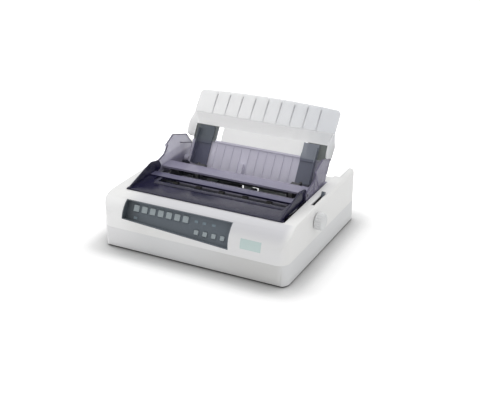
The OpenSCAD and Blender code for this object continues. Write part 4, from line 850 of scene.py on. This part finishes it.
# %% Print head and cartridge lid
HEAD_HALF_W, HEAD_FRONT, HEAD_BACK, FIN_COUNT = 15, -96, -70, 6
slab("head_block", box_outline(-HEAD_HALF_W, HEAD_HALF_W, HEAD_FRONT, HEAD_BACK, 2.0), level,
     66.0, 86.0, 0.8, "motor_black", "carriage", "motor_black")
plate = rounded([(-HEAD_HALF_W, 85.5), (HEAD_HALF_W, 85.5), (HEAD_HALF_W, 94), (8, 94),
                 (7, 91.5), (-7, 91.5), (-8, 94), (-HEAD_HALF_W, 94)],
                [0.2, 0.2, 2.0, 0.8, 0.8, 0.8, 0.8, 2.0], 5)
for number, y in enumerate(np.linspace(HEAD_FRONT + 1, HEAD_BACK - 1, FIN_COUNT), start=1):
    fin = slab(f"head_fin_{number}", plate, upright, -y - 1, -y + 1, 0.35, "motor_black",
               "carriage", "motor_black")
    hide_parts("print_head")
nose = rounded([(-4, -70.5), (4, -70.5), (4, -60), (2.6, -52.4), (-2.6, -52.4), (-4, -60)], 0.6, 4)
slab("head_nose", nose, level, 77.2, 85.8, 0.5, "metal_case", "carriage", "motor_black")
for side in (-1, 1):
    lid = box_outline(*sorted((side * 19.5, side * 47.5)), -101, -66.5, 2.5)
    slab(f"cartridge_lid_{'left' if side < 0 else 'right'}", lid, level, 87.6, 88.5, 0.3,
         "dark_plastic", "carriage", "black_plastic")
print("cooling plates", FIN_COUNT)

# %% [markdown]
# ## Toothed belt
# The belt follows two straight runs and two half circles. Its inner side steps in and out once per
# tooth, every 2.5 mm, which is all that a tooth needs at this size.

# %% Carriage belt
INNER, OUTER, PITCH, BELT_HALF_H, TOOTH_STEP = 8.3, 9.7, 2.5, 3, 0.45
length = 4 * REACH + 2 * math.pi * INNER
teeth = round(length / PITCH)
stops = np.arange(teeth * 4) * length / (teeth * 4)
turn = math.pi * INNER


def belt_point(s):
    """Point and outward direction at distance s along the inner line of the belt."""
    if s < 2 * REACH:
        return (-REACH + s, -INNER), (0, -1)
    s -= 2 * REACH
    if s < turn:
        a = -math.pi / 2 + s / INNER
        return (REACH + INNER * math.cos(a), INNER * math.sin(a)), (math.cos(a), math.sin(a))
    s -= turn
    if s < 2 * REACH:
        return (REACH - s, INNER), (0, 1)
    a = math.pi / 2 + (s - 2 * REACH) / INNER
    return (-REACH + INNER * math.cos(a), INNER * math.sin(a)), (math.cos(a), math.sin(a))


line = [belt_point(s) for s in stops]
belt_path = np.array([(p[0], BELT_Y + p[1], BELT_Z) for p, _ in line])


def belt_section(k):
    """An upright band, whose inner face steps back on every other pair of rows."""
    inner = 0.0 if k % 4 < 2 else TOOTH_STEP
    thick = OUTER - INNER
    return [(-thick, -BELT_HALF_H), (-inner, -BELT_HALF_H), (-inner, BELT_HALF_H),
            (-thick, BELT_HALF_H)]


belt = swept("belt_toothed", belt_path, belt_section, UP, "black_rubber", "chassis",
             closed=True)
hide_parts("carriage_belt")
print("belt teeth", teeth)

# %% [markdown]
# ## Electronics
# The board carries chips, capacitors and the two data sockets that show in the rear windows. The
# supply has a transformer with copper windings, two large capacitors and a finned heat sink.

# %% Main board
BOARD_FOOT, BOARD_TOP = 12.0, 13.6
deck = slab("board_sheet", box_outline(-150, 26, 44, 160, 2), level, BOARD_FOOT, BOARD_TOP, 0.15,
            "board", "chassis", "board")
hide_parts("main_board")

# %% Chips and their legs: left, right, front, rear, height
CHIPS = [(-110, -80, 70, 100, 3.0), (-60, -40, 80, 96, 3.0), (-20, 10, 60, 66, 4.4),
         (-140, -126, 60, 90, 3.0), (-72, -66, 108, 132, 3.0), (-30, -6, 100, 108, 3.0),
         (-120, -96, 112, 120, 3.0)]
LEG_PITCH, LEG_INSET, LEG_OUT, LEG_TOP = 2.54, 1.2, 0.6, 15.2
LEG = np.array([(sx * 0.25, sy * 0.8, z) for z in (BOARD_TOP, LEG_TOP)
                for sx, sy in ((-1, -1), (1, -1), (1, 1), (-1, 1))])
LEG_FACES = np.array([(3, 2, 1, 0), (4, 5, 6, 7), (0, 1, 5, 4), (1, 2, 6, 5), (2, 3, 7, 6),
                      (3, 0, 4, 7)])
for number, (x0, x1, y0, y1, tall) in enumerate(CHIPS, start=1):
    slab(f"chip_{number}", box_outline(x0, x1, y0, y1, 0.6), level, BOARD_TOP + 0.3,
         BOARD_TOP + tall, 0.4, "black_plastic", "chassis", "board")
    legs = max(3, int((x1 - x0) / LEG_PITCH))
    spots = np.zeros((legs, 1, 3))
    spots[:, 0, 0] = np.linspace(x0 + LEG_INSET, x1 - LEG_INSET, legs)
    faces = (LEG_FACES + len(LEG) * np.arange(legs)[:, None, None]).reshape(-1, 4).tolist()
    for row, y in enumerate((y0 - LEG_OUT, y1 + LEG_OUT)):
        spots[:, 0, 1] = y
        put_mesh(f"chip_{number}_legs_{row}", level((spots + LEG).reshape(-1, 3)), faces,
                 "rod_steel", "chassis")

# %% Capacitors (x, y, radius, height) and data sockets (name, x, half width, low, high)
CAPACITORS = [(-140, 100, 4, 11), (-128, 100, 4, 11), (16, 84, 5, 14), (16, 98, 5, 14),
              (-70, 60, 3, 8), (-100, 56, 3, 8)]
SOCKETS = [("wide_socket", -90, 30, BOARD_TOP, 28), ("small_socket", -30, 6.5, BOARD_TOP, 26)]
for number, (x, y, radius, tall) in enumerate(CAPACITORS, start=1):
    top = BOARD_TOP + tall
    turned(f"capacitor_{number}",
           [(BOARD_TOP, 0.02), (BOARD_TOP, radius), (BOARD_TOP + 0.8, radius * 0.94),
            (BOARD_TOP + 1.6, radius), (top - 0.4, radius), (top, radius * 0.9),
            (top, radius * 0.8), (top - 0.2, radius * 0.7), (top - 0.2, 0.02)],
           (x, y, 0), UP, "dark_plastic", "chassis", "board", sides=32)
for name, x, half, low, high in SOCKETS:
    shell = box_outline(x - half, x + half, low, high, 2.0)
    slab(name + "_body", shell, upright, -166.0, -150.5, 0.4, "metal_case", "chassis", "board")
    lip = box_outline(x - half * 0.86, x + half * 0.86, low + 2.4, high - 2.4, 2.6)
    slab(name + "_shell", lip, upright, -171.6, -165.5, 0.4, "rod_steel", "chassis", "board")
    core = box_outline(x - half * 0.80, x + half * 0.80, low + 3.6, high - 3.6, 1.8)
    slab(name + "_core", core, upright, -172.0, -171.0, 0.2, "black_plastic", "chassis", "board")
print("chips", len(CHIPS), "capacitors", len(CAPACITORS), "sockets", len(SOCKETS))

# %% Power supply and mains inlet
TRAY_FOOT, TRAY_TOP, SUPPLY = 6.0, 8.0, ("chassis", "metal_case")
tray = slab("supply_tray", box_outline(48, 150, 56, 148, 2), level, TRAY_FOOT, TRAY_TOP, 0.3,
            "metal_case", *SUPPLY)
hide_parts("power_supply")
slab("transformer_core", box_outline(56, 98, 74, 98, 1), level, TRAY_TOP, 40.0, 0.5,
     "motor_black", *SUPPLY)
slab("transformer_coil", box_outline(63, 91, 66.5, 105.5, 6), level, 13.0, 35.0, 2.0, "copper",
     *SUPPLY)
RESERVOIR = [(TRAY_TOP, 0.02), (TRAY_TOP, 9), (10, 8.6), (12, 9), (37, 9), (38, 8.4), (38, 7.6),
             (37.4, 7.0), (37.4, 0.02)]
for number, x in enumerate((114, 136), start=1):
    turned(f"reservoir_{number}", RESERVOIR, (x, 80, 0), UP, "dark_plastic", *SUPPLY, sides=48)
sink = box_outline(120, 144, TRAY_TOP, 34, 1.0)
for number, x in enumerate(range(58, 91, 8), start=1):
    slab(f"heat_sink_{number}", sink, sideways, x, x + 3, 0.5, "metal_case", *SUPPLY)

BLADES, BLADE_HALF_W, BLADE_HALF_H = [(120, 19), (132, 19), (126, 24)], 1.1, 2.1
for number, (x, z) in enumerate(BLADES, start=1):
    blade = box_outline(x - BLADE_HALF_W, x + BLADE_HALF_W, z - BLADE_HALF_H, z + BLADE_HALF_H,
                        0.4)
    slab(f"inlet_blade_{number}", blade, upright, -166.2, -155.0, 0.3, "rod_steel", "chassis",
         "black_plastic")
print("inlet blades", len(BLADES))

# %% [markdown]
# ## Light strip on the cover and dark rims on the ears
# The bar behind the paper slot is a lighter moulding let into the cover. The upper edges of the
# ears are thicker, and look darker where the tinted plastic is seen end on.

# %% Cover strip and ear rims
slab("cover_strip", box_outline(-162.5, 162.5, -45.4, -26.6, 1.2), level, 112.4, 113.2, 0.3,
     "strip_smoke", "cover", "smoke")
EAR_FRONT = [(-18, 100), (-18, 122), (-11, 126), (18, 134), (32, 147), (28, 152)]
EAR_EDGES = {"left": (-1, EAR_FRONT + [(55, 165), (110, 148), (132, 121), (125, 92)]),
             "right": (1, EAR_FRONT + [(64, 166), (102, 154), (86, 128)])}
EAR_X, BRACE_X, POINT_STEP = 168.25, 166.6, 3.0


def along_line(corners, x):
    """Points at one x, every few millimetres along a line through the (y, z) corners."""
    corners = np.asarray(corners, dtype=float)
    runs = []
    for a, b in zip(corners[:-1], corners[1:]):
        count = max(2, int(np.hypot(*(b - a)) / POINT_STEP))
        runs.append(a + (b - a) * np.linspace(0, 1, count, endpoint=False)[:, None])
    line = np.concatenate(runs + [corners[-1:]])
    return np.column_stack([np.full(len(line), x), line])


def band(inner, outer, half):
    """A rectangular section from -inner to outer, and half wide to both sides."""
    return lambda k: [(-inner, -half), (outer, -half), (outer, half), (-inner, half)]


for label, (side, corners) in EAR_EDGES.items():
    swept(f"ear_rim_{label}", along_line(corners, side * EAR_X), band(0.5, 1.0, 1.5),
          (-1, 0, 0), "rim_smoke", "chassis")
swept("ear_brace_left", along_line([(83, 138), (130, 122)], -BRACE_X), band(0.5, 0.9, 2.4),
      (-1, 0, 0), "rim_smoke", "chassis")
print("rims", len(EAR_EDGES))

# %% [markdown]
# ## Floor
# A plain pale sheet. It shows as white to the camera and still takes the printer's soft shadow, and
# its colour carries painted shade in the crease round the case.

# %% Floor
FLOOR_HALF = 6.0
CASE_HALF = (0.199, 0.1725, 0.0)
# The shade in the crease under the case, and the way from the case over which the floor turns white
CREASE_REACH, CREASE_POWER, FLOOR_TONE = 0.05, 0.85, 0.96
GLOW_START, GLOW_END, GLOW = 0.02, 0.16, 0.60

floor_mesh = bpy.data.meshes.new("floor")
floor_mesh.from_pydata([(-FLOOR_HALF, -FLOOR_HALF, 0), (FLOOR_HALF, -FLOOR_HALF, 0),
                        (FLOOR_HALF, FLOOR_HALF, 0), (-FLOOR_HALF, FLOOR_HALF, 0)],
                       [], [(0, 1, 2, 3)])
floor = bpy.data.objects.new("floor", floor_mesh)
bpy.context.collection.objects.link(floor)
floor_material, floor_tree, floor_shader, spot = start_material("floor_white")
floor_shader.inputs["Roughness"].default_value = 0.9
floor_shader.inputs["Specular IOR Level"].default_value = 0.1
# Painted shade: ambient occlusion darkens the floor's colour near the case
nearness = add(floor_tree, "AmbientOcclusion", [("Distance", CREASE_REACH)], samples=16)
crease_shade = add(floor_tree, "Math", [(0, nearness.outputs["AO"]), (1, CREASE_POWER)],
               operation="POWER")
pale = add(floor_tree, "Math", [(0, crease_shade.outputs[0]), (1, FLOOR_TONE)], operation="MULTIPLY")
floor_tree.links.new(pale.outputs[0], floor_shader.inputs["Base Color"])
flat = add(floor_tree, "VectorMath", [(0, spot)], operation="ABSOLUTE")
past = add(floor_tree, "VectorMath", [(0, flat.outputs[0]), (1, CASE_HALF)],
           operation="SUBTRACT")
beside = add(floor_tree, "VectorMath", [(0, past.outputs[0]), (1, (0.0, 0.0, 0.0))],
             operation="MAXIMUM")
away = add(floor_tree, "VectorMath", [(0, beside.outputs[0])], operation="LENGTH")
lift = add(floor_tree, "MapRange", [("Value", away.outputs["Value"]), ("From Min", GLOW_START),
                                    ("From Max", GLOW_END), ("To Min", 0.0), ("To Max", GLOW)])
seen_by = add(floor_tree, "LightPath")
glow = add(floor_tree, "Math", [(0, lift.outputs[0]), (1, seen_by.outputs["Is Camera Ray"])],
           operation="MULTIPLY")
floor_tree.links.new(glow.outputs[0], floor_shader.inputs["Emission Strength"])
floor_shader.inputs["Emission Color"].default_value = (1, 1, 1, 1)
floor_mesh.materials.append(floor_material)
